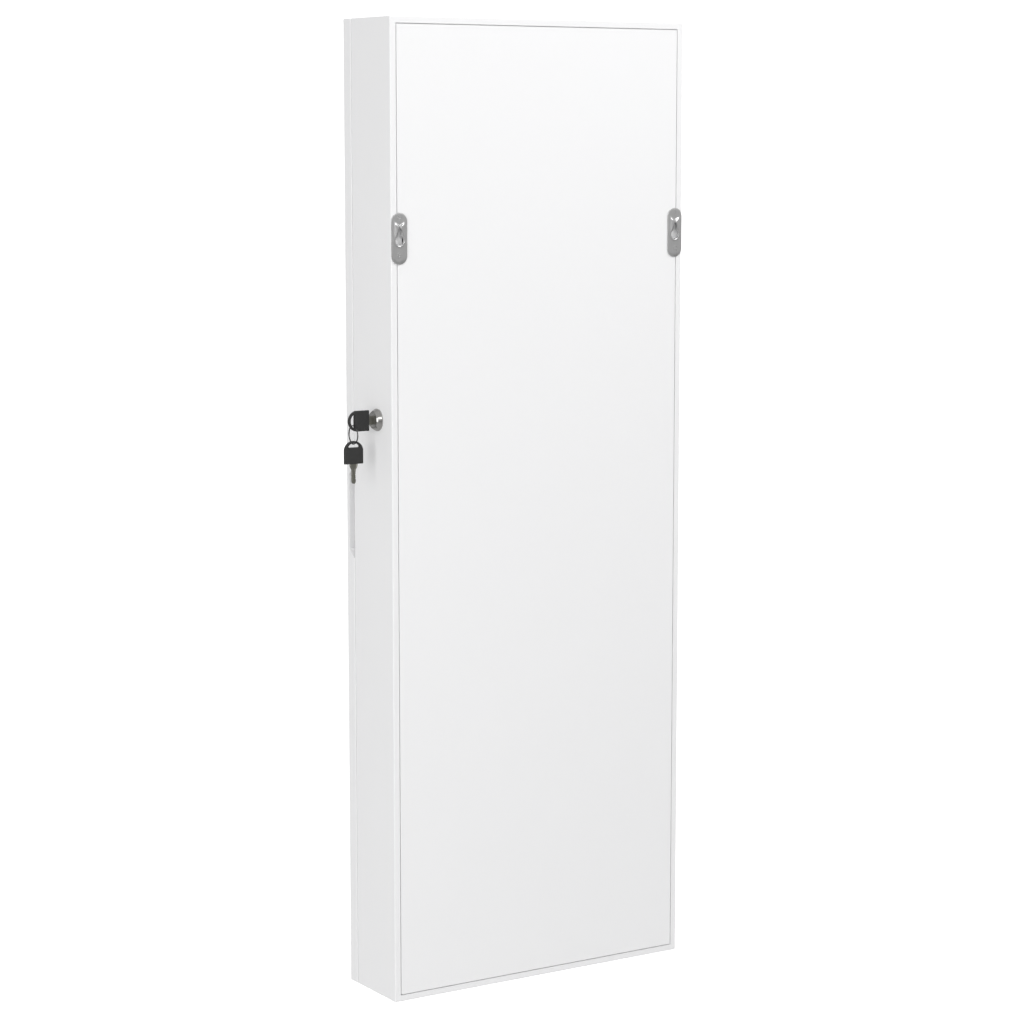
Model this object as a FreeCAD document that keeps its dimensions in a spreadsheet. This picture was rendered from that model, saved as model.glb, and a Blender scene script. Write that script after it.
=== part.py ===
import FreeCAD, Part

import os

import Sketcher

# A wall-hung jewelry cabinet: a white carcass, a hinged mirror door, a cam lock with two keys on its side,
# and the fittings that hold jewelry inside. Millimetres. +Z is up, the mirror faces -Y, the lock side is +X.
# The origin lies in the wall plane, midway between the two wall screws.

SIZES = [
    # overall and boards
    ("cabinet_width", 375),
    ("cabinet_depth", 100),
    ("cabinet_height", 1060),
    ("board_thickness", 15),
    ("edge_radius", 1),
    ("back_thickness", 3),
    ("back_rim", 7),
    ("back_gap", 1),
    ("velvet_board_thickness", 2),
    ("velvet_board_clearance", 0.5),
    ("dowel_diameter", 8),
    ("dowel_length", 30),
    ("dowel_side_depth", 10),
    ("dowel_inset", 20),
    # door
    ("door_thickness", 16),
    ("seam_gap", 1.2),
    ("frame_width", 34),
    ("frame_lip", 4),
    ("frame_chamfer", 2),
    ("rebate_width", 6),
    ("glass_thickness", 3),
    ("glass_clearance", 0.5),
    ("backing_thickness", 3),
    ("pull_length", 102),
    ("pull_front_wall", 6.4),
    ("pull_inset", 12),
    # wall hangers
    ("hanger_height", 827),
    ("hanger_edge", 9.8),
    ("hanger_rise", 2.8),
    ("hanger_plate_thickness", 1.2),
    ("hanger_plate_width", 19),
    ("hanger_plate_above", 29.3),
    ("hanger_plate_below", 25.3),
    ("hanger_dome_width", 14),
    ("hanger_dome_above", 18),
    ("hanger_entry_diameter", 10.5),
    ("hanger_slot_width", 5),
    ("hanger_slot_above", 13),
    ("hanger_screw_from_top", 4.8),
    ("hanger_screw_from_bottom", 9.8),
    ("hanger_relief_width", 13),
    ("hanger_dome_rounding", 0.72),
    # screws
    ("screw_diameter", 3),
    ("screw_head_diameter", 5.6),
    ("screw_length", 14),
    ("screw_clearance", 0.5),
    ("short_screw_length", 10),
    # hinges
    ("hinge_end_distance", 100),
    ("leaf_height", 50),
    ("leaf_reach", 12),
    ("leaf_thickness", 1),
    ("leaf_gap", 0.2),
    ("leaf_overhang", 0.1),
    ("leaf_screw_offset", 0.5),
    ("knuckle_diameter", 5),
    ("knuckle_clearance", 0.3),
    ("knuckle_end_gap", 0.2),
    ("pin_diameter", 2.5),
    ("pin_running_clearance", 0.05),
    ("pin_cap_thickness", 0.8),
    ("leaf_screw_spacing", 17),
    # cam lock
    ("lock_height", 635.5),
    ("lock_setback", 31),
    ("bezel_diameter", 24),
    ("bezel_face_diameter", 20),
    ("bezel_rise", 6),
    ("bezel_edge", 1.2),
    ("barrel_diameter", 18),
    ("barrel_length", 26),
    ("barrel_clearance", 0.2),
    ("plug_diameter", 13),
    ("plug_running_clearance", 0.05),
    ("plug_flange_diameter", 15.4),
    ("plug_flange_thickness", 1.4),
    ("plug_end_play", 0.1),
    ("shank_width", 7),
    ("cam_thickness", 2),
    ("cam_width", 12),
    ("cam_length", 30),
    ("cam_clearance", 2.5),
    ("cam_screw_head_diameter", 7),
    ("cam_screw_head_height", 2.2),
    ("nut_across_flats", 23),
    ("nut_thickness", 3.5),
    # striker on the door that the cam locks into
    ("striker_drop", 23.5),
    ("striker_thickness", 2),
    ("striker_side_gap", 6.3),
    ("striker_wall", 2.8),
    ("striker_foot_height", 30),
    ("striker_slot_before", 22),
    ("striker_slot_after", 8),
    ("striker_low_screw", 6),
    ("striker_high_screw", 22.5),
    # keys and ring
    ("blade_thickness", 2),
    ("blade_width", 5.5),
    ("blade_length", 17),
    ("blade_tip_rise", 2.2),
    ("blade_cut_pitch", 3.4),
    ("blade_cut_width", 1.4),
    ("blade_cut_slope", 0.7),
    ("blade_cut_depth", 0.55),
    ("blade_cut_step", 0.22),
    ("keyway_clearance", 0.2),
    ("shoulder_width", 9.2),
    ("shoulder_length", 5),
    ("tang_width", 7),
    ("tang_length", 8),
    ("head_length", 24.5),
    ("head_width", 22),
    ("head_side", 15.5),
    ("head_thickness", 4.4),
    ("head_rounding", 0.8),
    ("bow_start", 17.6),
    ("bow_side", 1.7),
    ("bow_width", 13.4),
    ("bow_length", 4.8),
    ("ring_diameter", 19.6),
    ("ring_wire", 1.3),
    ("ring_along_head", 18.6),
    ("ring_bar_depth", 8.2),
    ("ring_bar_reach", 2.95),
    ("spare_rest", 1.15),
    # magnet catches
    ("catch_end_distance", 180),
    ("catch_width", 12),
    ("catch_depth", 20),
    ("catch_height", 40),
    ("catch_setback", 0.4),
    ("magnet_width", 6),
    ("magnet_depth", 8),
    ("magnet_height", 28),
    ("catch_screw_spacing", 32),
    ("catch_screw_grip", 6),
    ("catch_screw_inset", 4),
    ("strike_thickness", 1),
    ("strike_clearance", 0.8),
    ("bumper_diameter", 8),
    ("bumper_thickness", 1),
    ("bumper_end_distance", 40),
    # jewelry fittings in the carcass
    ("rail_top_distance", 74),
    ("rail_tall", 18),
    ("rail_deep", 12),
    ("rail_end_gap", 2),
    ("hook_count", 12),
    ("hook_end_distance", 29.5),
    ("hook_diameter", 4),
    ("hook_length", 24),
    ("hook_ball_diameter", 7),
    ("hook_base_diameter", 7.2),
    ("hook_base_thickness", 2),
    ("ring_tray_height", 440),
    ("ring_tray_end_gap", 7.5),
    ("ring_tray_tall", 118),
    ("ring_tray_deep", 15),
    ("ring_tray_wall", 4),
    ("roll_count", 6),
    ("roll_clearance", 0.4),
    ("rod_height", 372),
    ("rod_diameter", 8),
    ("rod_setback", 38),
    ("cup_diameter", 14),
    ("cup_length", 7),
    ("cup_wall", 2),
    ("peg_diameter", 5),
    ("peg_depth", 8),
    ("shelf_thickness", 6),
    ("shelf_front_clearance", 8),
    ("shelf_side_gap", 0.5),
    ("lower_shelf_height", 95),
    ("upper_shelf_height", 195),
    ("shelf_peg_inset", 9),
    ("shelf_peg_reach", 8),
    ("fence_height", 20),
    ("fence_thickness", 3),
    # jewelry fittings on the door
    ("door_fitting_inset", 54.5),
    ("earring_panel_bottom", 560),
    ("earring_panel_top_distance", 104),
    ("earring_panel_thickness", 2),
    ("earring_panel_standoff", 3),
    ("earring_slot_length", 36),
    ("earring_slot_height", 4),
    ("earring_side_margin", 19),
    ("spacer_diameter", 8),
    ("spacer_inset", 10),
    ("tray_bottom", 60),
    ("tray_deep", 26),
    ("tray_tall", 52),
    ("tray_wall", 2),
]

EARRING_COLUMNS = 4
EARRING_ROWS = 9
HINGE_KNUCKLES = 5
BLADE_CUTS = 3

LAYOUT = [
    ("half_width", "Sizes.cabinet_width / 2"),
    ("rear_y", "-Sizes.hanger_rise"),
    ("front_y", "Layout.rear_y - Sizes.cabinet_depth"),
    ("door_rear_y", "Layout.front_y + Sizes.door_thickness"),
    ("carcass_front_y", "Layout.door_rear_y + Sizes.seam_gap"),
    ("carcass_depth", "Layout.rear_y - Layout.carcass_front_y"),
    ("seam_y", "(Layout.door_rear_y + Layout.carcass_front_y) / 2"),
    ("bottom_z", "-Sizes.hanger_height"),
    ("inner_half_width", "Layout.half_width - Sizes.board_thickness"),
    ("inner_width", "2 * Layout.inner_half_width"),
    ("back_inset", "Sizes.back_rim + Sizes.back_gap"),
    ("velvet_y", "Layout.rear_y - Sizes.back_thickness - Sizes.velvet_board_thickness"),
    ("hanger_x", "Layout.half_width - Sizes.hanger_edge"),
    ("hanger_screw_high", "Sizes.hanger_plate_above - Sizes.hanger_screw_from_top"),
    ("hanger_screw_low", "Sizes.hanger_screw_from_bottom - Sizes.hanger_plate_below"),
    ("hinge_x", "-Layout.half_width - Sizes.knuckle_diameter / 2 - Sizes.knuckle_clearance"),
    ("leaf_mortise", "Sizes.leaf_thickness - (Sizes.seam_gap - Sizes.leaf_gap) / 2"),
    ("knuckle_pitch", f"Sizes.leaf_height / {HINGE_KNUCKLES}"),
    ("leaf_root", "Sizes.knuckle_diameter / 2 + Sizes.knuckle_clearance - Sizes.leaf_overhang"),
    ("leaf_screw_x", "-Layout.half_width - Layout.hinge_x + Sizes.leaf_reach / 2 + Sizes.leaf_screw_offset"),
    ("opening_width", "Sizes.cabinet_width - 2 * Sizes.frame_width"),
    ("opening_height", "Sizes.cabinet_height - 2 * Sizes.frame_width"),
    ("rebate_inset", "Sizes.frame_width - Sizes.rebate_width"),
    ("glass_inset", "Layout.rebate_inset + Sizes.glass_clearance"),
    ("backing_rear", "Sizes.frame_lip + Sizes.glass_thickness + Sizes.backing_thickness"),
    ("pull_depth", "Sizes.door_thickness - Sizes.pull_front_wall"),
    ("pull_bottom", "(Sizes.cabinet_height - Sizes.pull_length) / 2"),
    ("lock_y", "Layout.rear_y - Sizes.lock_setback"),
    ("lock_z", "Layout.bottom_z + Sizes.lock_height"),
    ("plug_radius", "Sizes.plug_diameter / 2"),
    ("flange_seat", "Sizes.bezel_rise - Sizes.plug_flange_thickness - 2 * Sizes.plug_end_play"),
    ("cam_x", "Layout.half_width - Sizes.barrel_length - Sizes.plug_end_play - Sizes.cam_thickness"),
    ("striker_outer_x", "Layout.inner_half_width - Sizes.striker_side_gap"),
    ("striker_inner_x", "Layout.cam_x - Sizes.cam_clearance - Sizes.striker_wall"),
    ("stile_rear_x", "Layout.half_width - Layout.rebate_inset"),
    ("stile_middle_x", "(Layout.stile_rear_x + Layout.inner_half_width) / 2"),
    ("key_x", "Layout.half_width + Sizes.bezel_rise + Sizes.shoulder_length"),
    ("ring_x", "Layout.key_x + Sizes.ring_along_head"),
    ("ring_pivot_z", "Layout.lock_z - Sizes.ring_bar_depth"),
    ("ring_drop", "(Sizes.ring_diameter - Sizes.ring_wire) / 2 - Sizes.ring_bar_reach"),
    ("ring_z", "Layout.ring_pivot_z - Layout.ring_drop"),
    ("spare_pivot_z", "Layout.ring_z - Sizes.ring_diameter / 2"),
    ("spare_z", "Layout.spare_pivot_z + Sizes.spare_rest - Sizes.bow_start - Sizes.bow_length"),
    ("rail_bottom", "Sizes.cabinet_height - Sizes.rail_top_distance - Sizes.rail_tall"),
    ("hook_pitch", "(Layout.inner_width - 2 * Sizes.hook_end_distance) / (Sizes.hook_count - 1)"),
    ("ring_tray_width", "Layout.inner_width - 2 * Sizes.ring_tray_end_gap"),
    ("roll_pitch", "(Sizes.ring_tray_tall - 2 * Sizes.ring_tray_wall) / Sizes.roll_count"),
    ("rod_y", "Layout.velvet_y - Sizes.rod_setback"),
    ("backing_y", "Layout.front_y + Layout.backing_rear"),
    ("fence_front_y", "Layout.backing_y + Sizes.tray_deep + Sizes.shelf_front_clearance"),
    ("shelf_front_y", "Layout.fence_front_y + Sizes.fence_thickness"),
    ("panel_y", "Layout.door_rear_y + Sizes.earring_panel_standoff"),
    ("fitting_width", "Layout.inner_width - 2 * Sizes.door_fitting_inset"),
    ("earring_panel_top", "Sizes.cabinet_height - Sizes.earring_panel_top_distance"),
    ("earring_panel_tall", "Layout.earring_panel_top - Sizes.earring_panel_bottom"),
    ("earring_row_pitch", f"Layout.earring_panel_tall / {EARRING_ROWS}"),
    ("earring_slots_width", "Layout.fitting_width - 2 * Sizes.earring_side_margin"),
    ("earring_column_pitch", f"(Layout.earring_slots_width - Sizes.earring_slot_length) / {EARRING_COLUMNS - 1}"),
]

# how near two places must be to count as the same
NEAR = 0.01

doc = FreeCAD.newDocument("JewelryCabinet")
parts = []


def fill_sheet(name, rows, formula):
    """Put one alias on each row of a new spreadsheet, as a plain number or as a formula."""
    sheet = doc.addObject("Spreadsheet::Sheet", name)
    for number, (alias, content) in enumerate(rows, start=1):
        sheet.set(f"A{number}", alias)
        sheet.set(f"B{number}", f"={content}" if formula else str(content))
        sheet.setAlias(f"B{number}", alias)
        if formula:
            doc.recompute()
    doc.recompute()
    return sheet


sizes = fill_sheet("Sizes", SIZES, False)
layout = fill_sheet("Layout", LAYOUT, True)


def value(expression):
    """The present value of an expression in the sheets' aliases."""
    return float(sizes.evalExpression(str(expression)))


def bind(made, **properties):
    """Bind properties of an object to expressions."""
    for name, expression in properties.items():
        made.setExpression(name, str(expression))


def place(made, x=0, y=0, z=0):
    """Bind an object's position to three expressions."""
    for axis, expression in zip("xyz", (x, y, z)):
        made.setExpression(f"Placement.Base.{axis}", str(expression))


def turn(made, axis, angle):
    """Turn an object about one of its own axes, before it is placed."""
    direction = {"x": (1, 0, 0), "y": (0, 1, 0), "z": (0, 0, 1)}[axis]
    made.Placement = FreeCAD.Placement(FreeCAD.Vector(), FreeCAD.Rotation(FreeCAD.Vector(*direction), angle))


def keep(made, label):
    """Name a finished sub-part."""
    made.Label = label
    parts.append(made)
    return made


def new_body(label, x=0, y=0, z=0):
    """A sub-part's body, with its own origin placed in the cabinet."""
    made = keep(doc.addObject("PartDesign::Body", label), label)
    place(made, x, y, z)
    return made


def block(owner, name, corner, size, cut=False):
    """A rectangular block added to a body or cut from it."""
    made = owner.newObject("PartDesign::SubtractiveBox" if cut else "PartDesign::AdditiveBox", name)
    bind(made, Length=size[0], Width=size[1], Height=size[2])
    place(made, *corner)
    return made


# the turn that lays something standing on z along each direction
ALONG = {"x": ("y", 90), "-x": ("y", -90), "y": ("x", -90), "-y": ("x", 90), "z": ("z", 0)}


def cylinder(owner, name, along, start, radius, length, cut=False):
    """A cylinder along x, y or z, added to a body or cut from it."""
    made = owner.newObject("PartDesign::SubtractiveCylinder" if cut else "PartDesign::AdditiveCylinder", name)
    turn(made, *ALONG[along])
    bind(made, Radius=radius, Height=length)
    place(made, *start)
    return made


def countersink(owner, name, along, start, depth):
    """A conical seat for a screw head, widest at its start."""
    made = owner.newObject("PartDesign::SubtractiveCone", name)
    turn(made, *ALONG[along])
    bind(made, Radius1="Sizes.screw_head_diameter / 2", Radius2="Sizes.screw_diameter / 2", Height=depth)
    place(made, *start)
    return made


def edges_where(shape, test):
    """Names of the edges whose middle point and direction pass a test."""
    names = []
    for number, edge in enumerate(shape.Edges, start=1):
        middle = edge.valueAt((edge.FirstParameter + edge.LastParameter) / 2)
        if test(edge, middle):
            names.append(f"Edge{number}")
    return names


def round_edges(owner, name, radius, test, kind="Fillet"):
    """Fillet or chamfer the edges of a body that pass a test."""
    doc.recompute()
    base = owner.Tip
    made = owner.newObject(f"PartDesign::{kind}", name)
    made.Base = (base, edges_where(base.Shape, test))
    bind(made, **{"Radius" if kind == "Fillet" else "Size": radius})
    return made


def new_sketch(owner, name, role, offset=0):
    """A sketch on one of a body's own origin planes, moved along the plane's normal."""
    sketch = owner.newObject("Sketcher::SketchObject", name)
    plane = next(feature for feature in owner.Origin.OriginFeatures if feature.Role == role)
    sketch.AttachmentSupport = [(plane, "")]
    sketch.MapMode = "FlatFace"
    sketch.setExpression("AttachmentOffset.Base.z", str(offset))
    return sketch


def pin_point(sketch, geometry, point, at):
    """Hold one point of a sketch at two expressions, measured from the sketch's origin."""
    for kind, expression in zip(("DistanceX", "DistanceY"), at):
        number = sketch.addConstraint(Sketcher.Constraint(kind, -1, 1, geometry, point, value(expression)))
        sketch.setExpression(f"Constraints[{number}]", str(expression))


def draw_outline(sketch, points, arcs=()):
    """A closed outline through points. Arcs run from the numbered points to the next with the rises given."""
    rises = dict(arcs)
    spots = [FreeCAD.Vector(value(x), value(y), 0) for x, y in points]
    first = sketch.GeometryCount
    for number, start in enumerate(spots):
        end = spots[(number + 1) % len(spots)]
        if number in rises:
            chord = end - start
            side = FreeCAD.Vector(chord.y, -chord.x, 0).normalize()
            middle = (start + end) / 2 + side * value(rises[number])
            sketch.addGeometry(Part.Arc(start, middle, end))
        else:
            sketch.addGeometry(Part.LineSegment(start, end))
    for number, at in enumerate(points):
        geometry = first + number
        before = first + (number - 1) % len(points)
        starts = 1 if same_point(sketch, geometry, 1, spots[number]) else 2
        ends = 1 if same_point(sketch, before, 1, spots[number]) else 2
        sketch.addConstraint(Sketcher.Constraint("Coincident", before, ends, geometry, starts))
        pin_point(sketch, geometry, starts, at)
    for number, rise in rises.items():
        hold_arc_centre(sketch, first + number, points[number], points[(number + 1) % len(points)], rise)


def hold_arc_centre(sketch, geometry, start, end, rise):
    """Hold an arc's centre by its distance from the sketch's origin, across the arc's chord."""
    (x1, y1), (x2, y2) = start, end
    chord = f"sqrt((({x2}) - ({x1})) ^ 2 + (({y2}) - ({y1})) ^ 2)"
    radius = f"(({chord}) ^ 2 / 4 + ({rise}) ^ 2) / (2 * ({rise}))"
    across = f"(({rise}) - {radius}) / {chord}"
    if abs(value(x2) - value(x1)) > abs(value(y2) - value(y1)):
        kind, centre = "DistanceY", f"(({y1}) + ({y2})) / 2 - (({x2}) - ({x1})) * {across}"
    else:
        kind, centre = "DistanceX", f"(({x1}) + ({x2})) / 2 + (({y2}) - ({y1})) * {across}"
    number = sketch.addConstraint(Sketcher.Constraint(kind, -1, 1, geometry, 3, value(centre)))
    sketch.setExpression(f"Constraints[{number}]", centre)


def same_point(sketch, geometry, point, spot):
    """Whether one end of a sketch's geometry lies at a spot."""
    return sketch.getPoint(geometry, point).distanceToPoint(spot) < 1e-6


def pad(owner, name, sketch, length, reverse=False):
    """Extrude a sketch along its normal, or against it."""
    made = owner.newObject("PartDesign::Pad", name)
    made.Profile = sketch
    made.Reversed = reverse
    bind(made, Length=length)
    return made


def pocket(owner, name, sketch, length, reverse=False):
    """Cut a sketch's outline from a body, and make sure that it removes material."""
    doc.recompute()
    before = owner.Shape.Volume
    made = owner.newObject("PartDesign::Pocket", name)
    made.Profile = sketch
    made.Reversed = reverse
    bind(made, Length=length)
    doc.recompute()
    if owner.Shape.Volume > before - 1e-3:
        raise RuntimeError(f"{name} removes nothing")
    return made


def revolve(owner, name, sketch):
    """Turn a sketch a full circle about its own horizontal axis."""
    made = owner.newObject("PartDesign::Revolution", name)
    made.Profile = sketch
    made.ReferenceAxis = (sketch, ["H_Axis"])
    made.Angle = 360
    return made


def plain_cylinder(along, start, radius, length):
    """A free cylinder, for fasteners that share a node."""
    made = doc.addObject("Part::Cylinder", "Shank")
    turn(made, *ALONG[along])
    bind(made, Radius=radius, Height=length)
    place(made, *start)
    return made


def joined(pieces, along, start):
    """Fuse pieces that stand on the z axis, then lay the result along an axis and place it."""
    made = doc.addObject("Part::MultiFuse", "Joined")
    made.Shapes = pieces
    turn(made, *ALONG[along])
    place(made, *start)
    return made


def screw(along, start, length, head_height="Sizes.leaf_thickness"):
    """A countersunk screw. It points along a direction, and starts at the top of its head."""
    head = doc.addObject("Part::Cone", "Head")
    radius = "Sizes.screw_diameter / 2"
    bind(head, Radius1="Sizes.screw_head_diameter / 2", Radius2=radius, Height=head_height)
    shank = plain_cylinder("z", (0, 0, head_height), radius, f"{length} - {head_height}")
    return joined([head, shank], along, start)


def group(label, pieces):
    """Identical pieces that share one node."""
    made = keep(doc.addObject("Part::Compound", label), label)
    made.Links = pieces
    return made


# Carcass

def outer_x(side, distance):
    """A side panel's local x at a distance in from its outer face."""
    return distance if side < 0 else f"Sizes.board_thickness - ({distance})"


def side_panel(label, side):
    """One upright board, rabbeted for the back. Local x = 0 is its left face."""
    left = "-Layout.half_width" if side < 0 else "Layout.inner_half_width"
    panel = new_body(label, left, "Layout.carcass_front_y", "Layout.bottom_z")
    board_size = ("Sizes.board_thickness", "Layout.carcass_depth", "Sizes.cabinet_height")
    block(panel, "Board", (0, 0, 0), board_size)
    inner = value("Sizes.board_thickness") if side < 0 else 0
    round_edges(panel, "SoftEdges", "Sizes.edge_radius", lambda edge, middle: abs(middle.x - inner) > NEAR)
    rabbet_x = "Sizes.back_rim" if side < 0 else "0"
    rabbet_size = (
        "Sizes.board_thickness - Sizes.back_rim",
        "Sizes.back_thickness",
        "Sizes.cabinet_height - 2 * Sizes.back_rim",
    )
    rabbet_y = "Layout.carcass_depth - Sizes.back_thickness"
    block(panel, "BackRabbet", (rabbet_x, rabbet_y, "Sizes.back_rim"), rabbet_size, cut=True)
    hanger_cuts(panel, outer_x(side, "Sizes.hanger_edge"))
    dowel_start = "Sizes.board_thickness - Sizes.dowel_side_depth" if side < 0 else "0"
    dowel_radius = "Sizes.dowel_diameter / 2"
    for end in ("Sizes.board_thickness / 2", "Sizes.cabinet_height - Sizes.board_thickness / 2"):
        for depth in ("Sizes.dowel_inset", "Layout.carcass_depth - Sizes.dowel_inset"):
            start = (dowel_start, depth, end)
            cylinder(panel, "DowelHole", "x", start, dowel_radius, "Sizes.dowel_side_depth", True)
    peg_start = "Sizes.board_thickness - Sizes.peg_depth" if side < 0 else "0"
    rod_cup_place = ("Layout.rod_y", "Layout.bottom_z + Sizes.rod_height")
    for y, z in shelf_peg_places() + [rod_cup_place]:
        start = (peg_start, f"{y} - Layout.carcass_front_y", f"{z} - Layout.bottom_z")
        cylinder(panel, "PegHole", "x", start, "Sizes.peg_diameter / 2", "Sizes.peg_depth", True)
    return panel


def hanger_cuts(panel, x):
    """Room behind a keyhole for the wall screw's head, and holes for the hanger's own screws."""
    corner = (
        f"{x} - Sizes.hanger_relief_width / 2",
        "Layout.carcass_depth - Sizes.back_thickness",
        "Sizes.hanger_height - Sizes.hanger_relief_width / 2",
    )
    tall = "Sizes.hanger_slot_above + Sizes.hanger_relief_width / 2"
    size = ("Sizes.hanger_relief_width", "Sizes.back_thickness", tall)
    block(panel, "HangerRelief", corner, size, cut=True)
    for height in ("Layout.hanger_screw_high", "Layout.hanger_screw_low"):
        depth = "Sizes.screw_length - Sizes.hanger_plate_thickness"
        start = (x, f"Layout.carcass_depth - ({depth})", f"Sizes.hanger_height + {height}")
        cylinder(panel, "ScrewHole", "y", start, "Sizes.screw_diameter / 2", depth, True)


def shelf_peg_places():
    """Where the shelf pegs enter the side panels, as y and z in the cabinet."""
    places = []
    for shelf in ("Sizes.lower_shelf_height", "Sizes.upper_shelf_height"):
        height = f"Layout.bottom_z + {shelf} - Sizes.peg_diameter / 2"
        places.append(("Layout.shelf_front_y + Sizes.shelf_peg_inset", height))
        places.append(("Layout.velvet_y - Sizes.shelf_peg_inset", height))
    return places


def hinge_centres():
    """Heights of the three hinges' lower ends above the cabinet's bottom."""
    low = "Sizes.hinge_end_distance"
    middle = "(Sizes.cabinet_height - Sizes.leaf_height) / 2"
    high = "Sizes.cabinet_height - Sizes.hinge_end_distance - Sizes.leaf_height"
    return {"lower": low, "middle": middle, "upper": high}


def leaf_screw_heights(bottom):
    """Heights of one leaf's screws above the cabinet's bottom."""
    return [f"{bottom} + Sizes.leaf_height / 2 + {step} * Sizes.leaf_screw_spacing" for step in (-1, 0, 1)]


def left_side_panel():
    """The hinge side: mortises for the leaves in its front edge, and their screw holes."""
    panel = side_panel("left_side_panel", -1)
    for bottom in hinge_centres().values():
        size = ("Sizes.leaf_reach", "Layout.leaf_mortise", "Sizes.leaf_height")
        block(panel, "LeafMortise", (0, 0, bottom), size, cut=True)
        for height in leaf_screw_heights(bottom):
            start = ("Layout.leaf_screw_x + Layout.hinge_x + Layout.half_width", 0, height)
            cylinder(panel, "ScrewHole", "y", start, "Sizes.screw_diameter / 2", "Sizes.screw_length", True)


def catch_heights():
    """Heights of the two magnet catches' lower ends above the cabinet's bottom."""
    low = "Sizes.catch_end_distance"
    return [low, "Sizes.cabinet_height - Sizes.catch_end_distance - Sizes.catch_height"]


def catch_screw_heights(bottom):
    """Heights of the two screws of a catch, or of its strike plate, above the cabinet's bottom."""
    middle = f"{bottom} + Sizes.catch_height / 2"
    return [f"{middle} - Sizes.catch_screw_spacing / 2", f"{middle} + Sizes.catch_screw_spacing / 2"]


def catch_screw_depth():
    """How far the catches' screws lie behind the carcass front."""
    return "Sizes.catch_setback + Sizes.catch_depth - Sizes.catch_screw_inset"


def right_side_panel():
    """The lock side: a bore for the lock's barrel, and holes for the catches' screws."""
    panel = side_panel("right_side_panel", 1)
    start = (0, "Layout.lock_y - Layout.carcass_front_y", "Sizes.lock_height")
    radius = "Sizes.barrel_diameter / 2 + Sizes.barrel_clearance"
    cylinder(panel, "LockBore", "x", start, radius, "Sizes.board_thickness", True)
    length = "Sizes.screw_length + Sizes.catch_screw_grip - Sizes.catch_width"
    for bottom in catch_heights():
        for height in catch_screw_heights(bottom):
            start = (0, catch_screw_depth(), height)
            cylinder(panel, "ScrewHole", "x", start, "Sizes.screw_diameter / 2", length, True)


def cross_panel(label, bottom, rabbet_z):
    """The top or bottom board between the sides, rabbeted for the back."""
    panel = new_body(label, "-Layout.inner_half_width", "Layout.carcass_front_y", bottom)
    size = ("Layout.inner_width", "Layout.carcass_depth", "Sizes.board_thickness")
    block(panel, "Board", (0, 0, 0), size)
    outer = value("Sizes.board_thickness") if rabbet_z == "0" else 0
    centre = value("Layout.inner_half_width")

    def is_long_outer(edge, middle):
        return abs(middle.z - outer) < NEAR and abs(middle.x - centre) < NEAR

    round_edges(panel, "SoftEdges", "Sizes.edge_radius", is_long_outer)
    corner = (0, "Layout.carcass_depth - Sizes.back_thickness", rabbet_z)
    size = ("Layout.inner_width", "Sizes.back_thickness", "Sizes.board_thickness - Sizes.back_rim")
    block(panel, "BackRabbet", corner, size, cut=True)
    length = "Sizes.dowel_length - Sizes.dowel_side_depth"
    for x in ("0", f"Layout.inner_width - ({length})"):
        for depth in ("Sizes.dowel_inset", "Layout.carcass_depth - Sizes.dowel_inset"):
            start = (x, depth, "Sizes.board_thickness / 2")
            cylinder(panel, "DowelHole", "x", start, "Sizes.dowel_diameter / 2", length, True)


def carcass_dowels():
    """Eight wooden dowels that join the four boards."""
    dowels = []
    for end in ("Sizes.board_thickness / 2", "Sizes.cabinet_height - Sizes.board_thickness / 2"):
        for x in ("-Layout.inner_half_width", "Layout.inner_half_width - Sizes.dowel_length"):
            shift = "- Sizes.dowel_side_depth" if x[0] == "-" else "+ Sizes.dowel_side_depth"
            for depth in ("Sizes.dowel_inset", "Layout.carcass_depth - Sizes.dowel_inset"):
                start = (f"{x} {shift}", f"Layout.carcass_front_y + {depth}", f"Layout.bottom_z + {end}")
                dowels.append(plain_cylinder("x", start, "Sizes.dowel_diameter / 2", "Sizes.dowel_length"))
    group("carcass_dowels", dowels)


def back_panel():
    """The flush back, notched at its edges where the hangers sit over it."""
    inset = "Layout.back_inset"
    low = f"Layout.bottom_z + {inset}"
    start = (f"-Layout.half_width + {inset}", "Layout.rear_y - Sizes.back_thickness", low)
    panel = new_body("back_panel", *start)
    width = f"Sizes.cabinet_width - 2 * {inset}"
    block(panel, "Sheet", (0, 0, 0), (width, "Sizes.back_thickness", f"Sizes.cabinet_height - 2 * {inset}"))
    reach = f"Sizes.hanger_edge + Sizes.hanger_relief_width / 2 - {inset}"
    tall = "Sizes.hanger_slot_above + Sizes.hanger_relief_width / 2"
    screw_reach = "Sizes.hanger_edge + Sizes.screw_diameter / 2 + Sizes.screw_clearance"
    for side in (-1, 1):
        x = "0" if side < 0 else f"{width} - ({reach})"
        z = f"Sizes.hanger_height - Sizes.hanger_relief_width / 2 - {inset}"
        block(panel, "HangerNotch", (x, 0, z), (reach, "Sizes.back_thickness", tall), cut=True)
        notch = f"{screw_reach} - {inset}"
        x = "0" if side < 0 else f"{width} - ({notch})"
        for height in ("Layout.hanger_screw_high", "Layout.hanger_screw_low"):
            gap = "Sizes.screw_diameter + 2 * Sizes.screw_clearance"
            z = f"Sizes.hanger_height + {height} - ({gap}) / 2 - {inset}"
            block(panel, "ScrewNotch", (x, 0, z), (notch, "Sizes.back_thickness", gap), cut=True)


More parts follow.
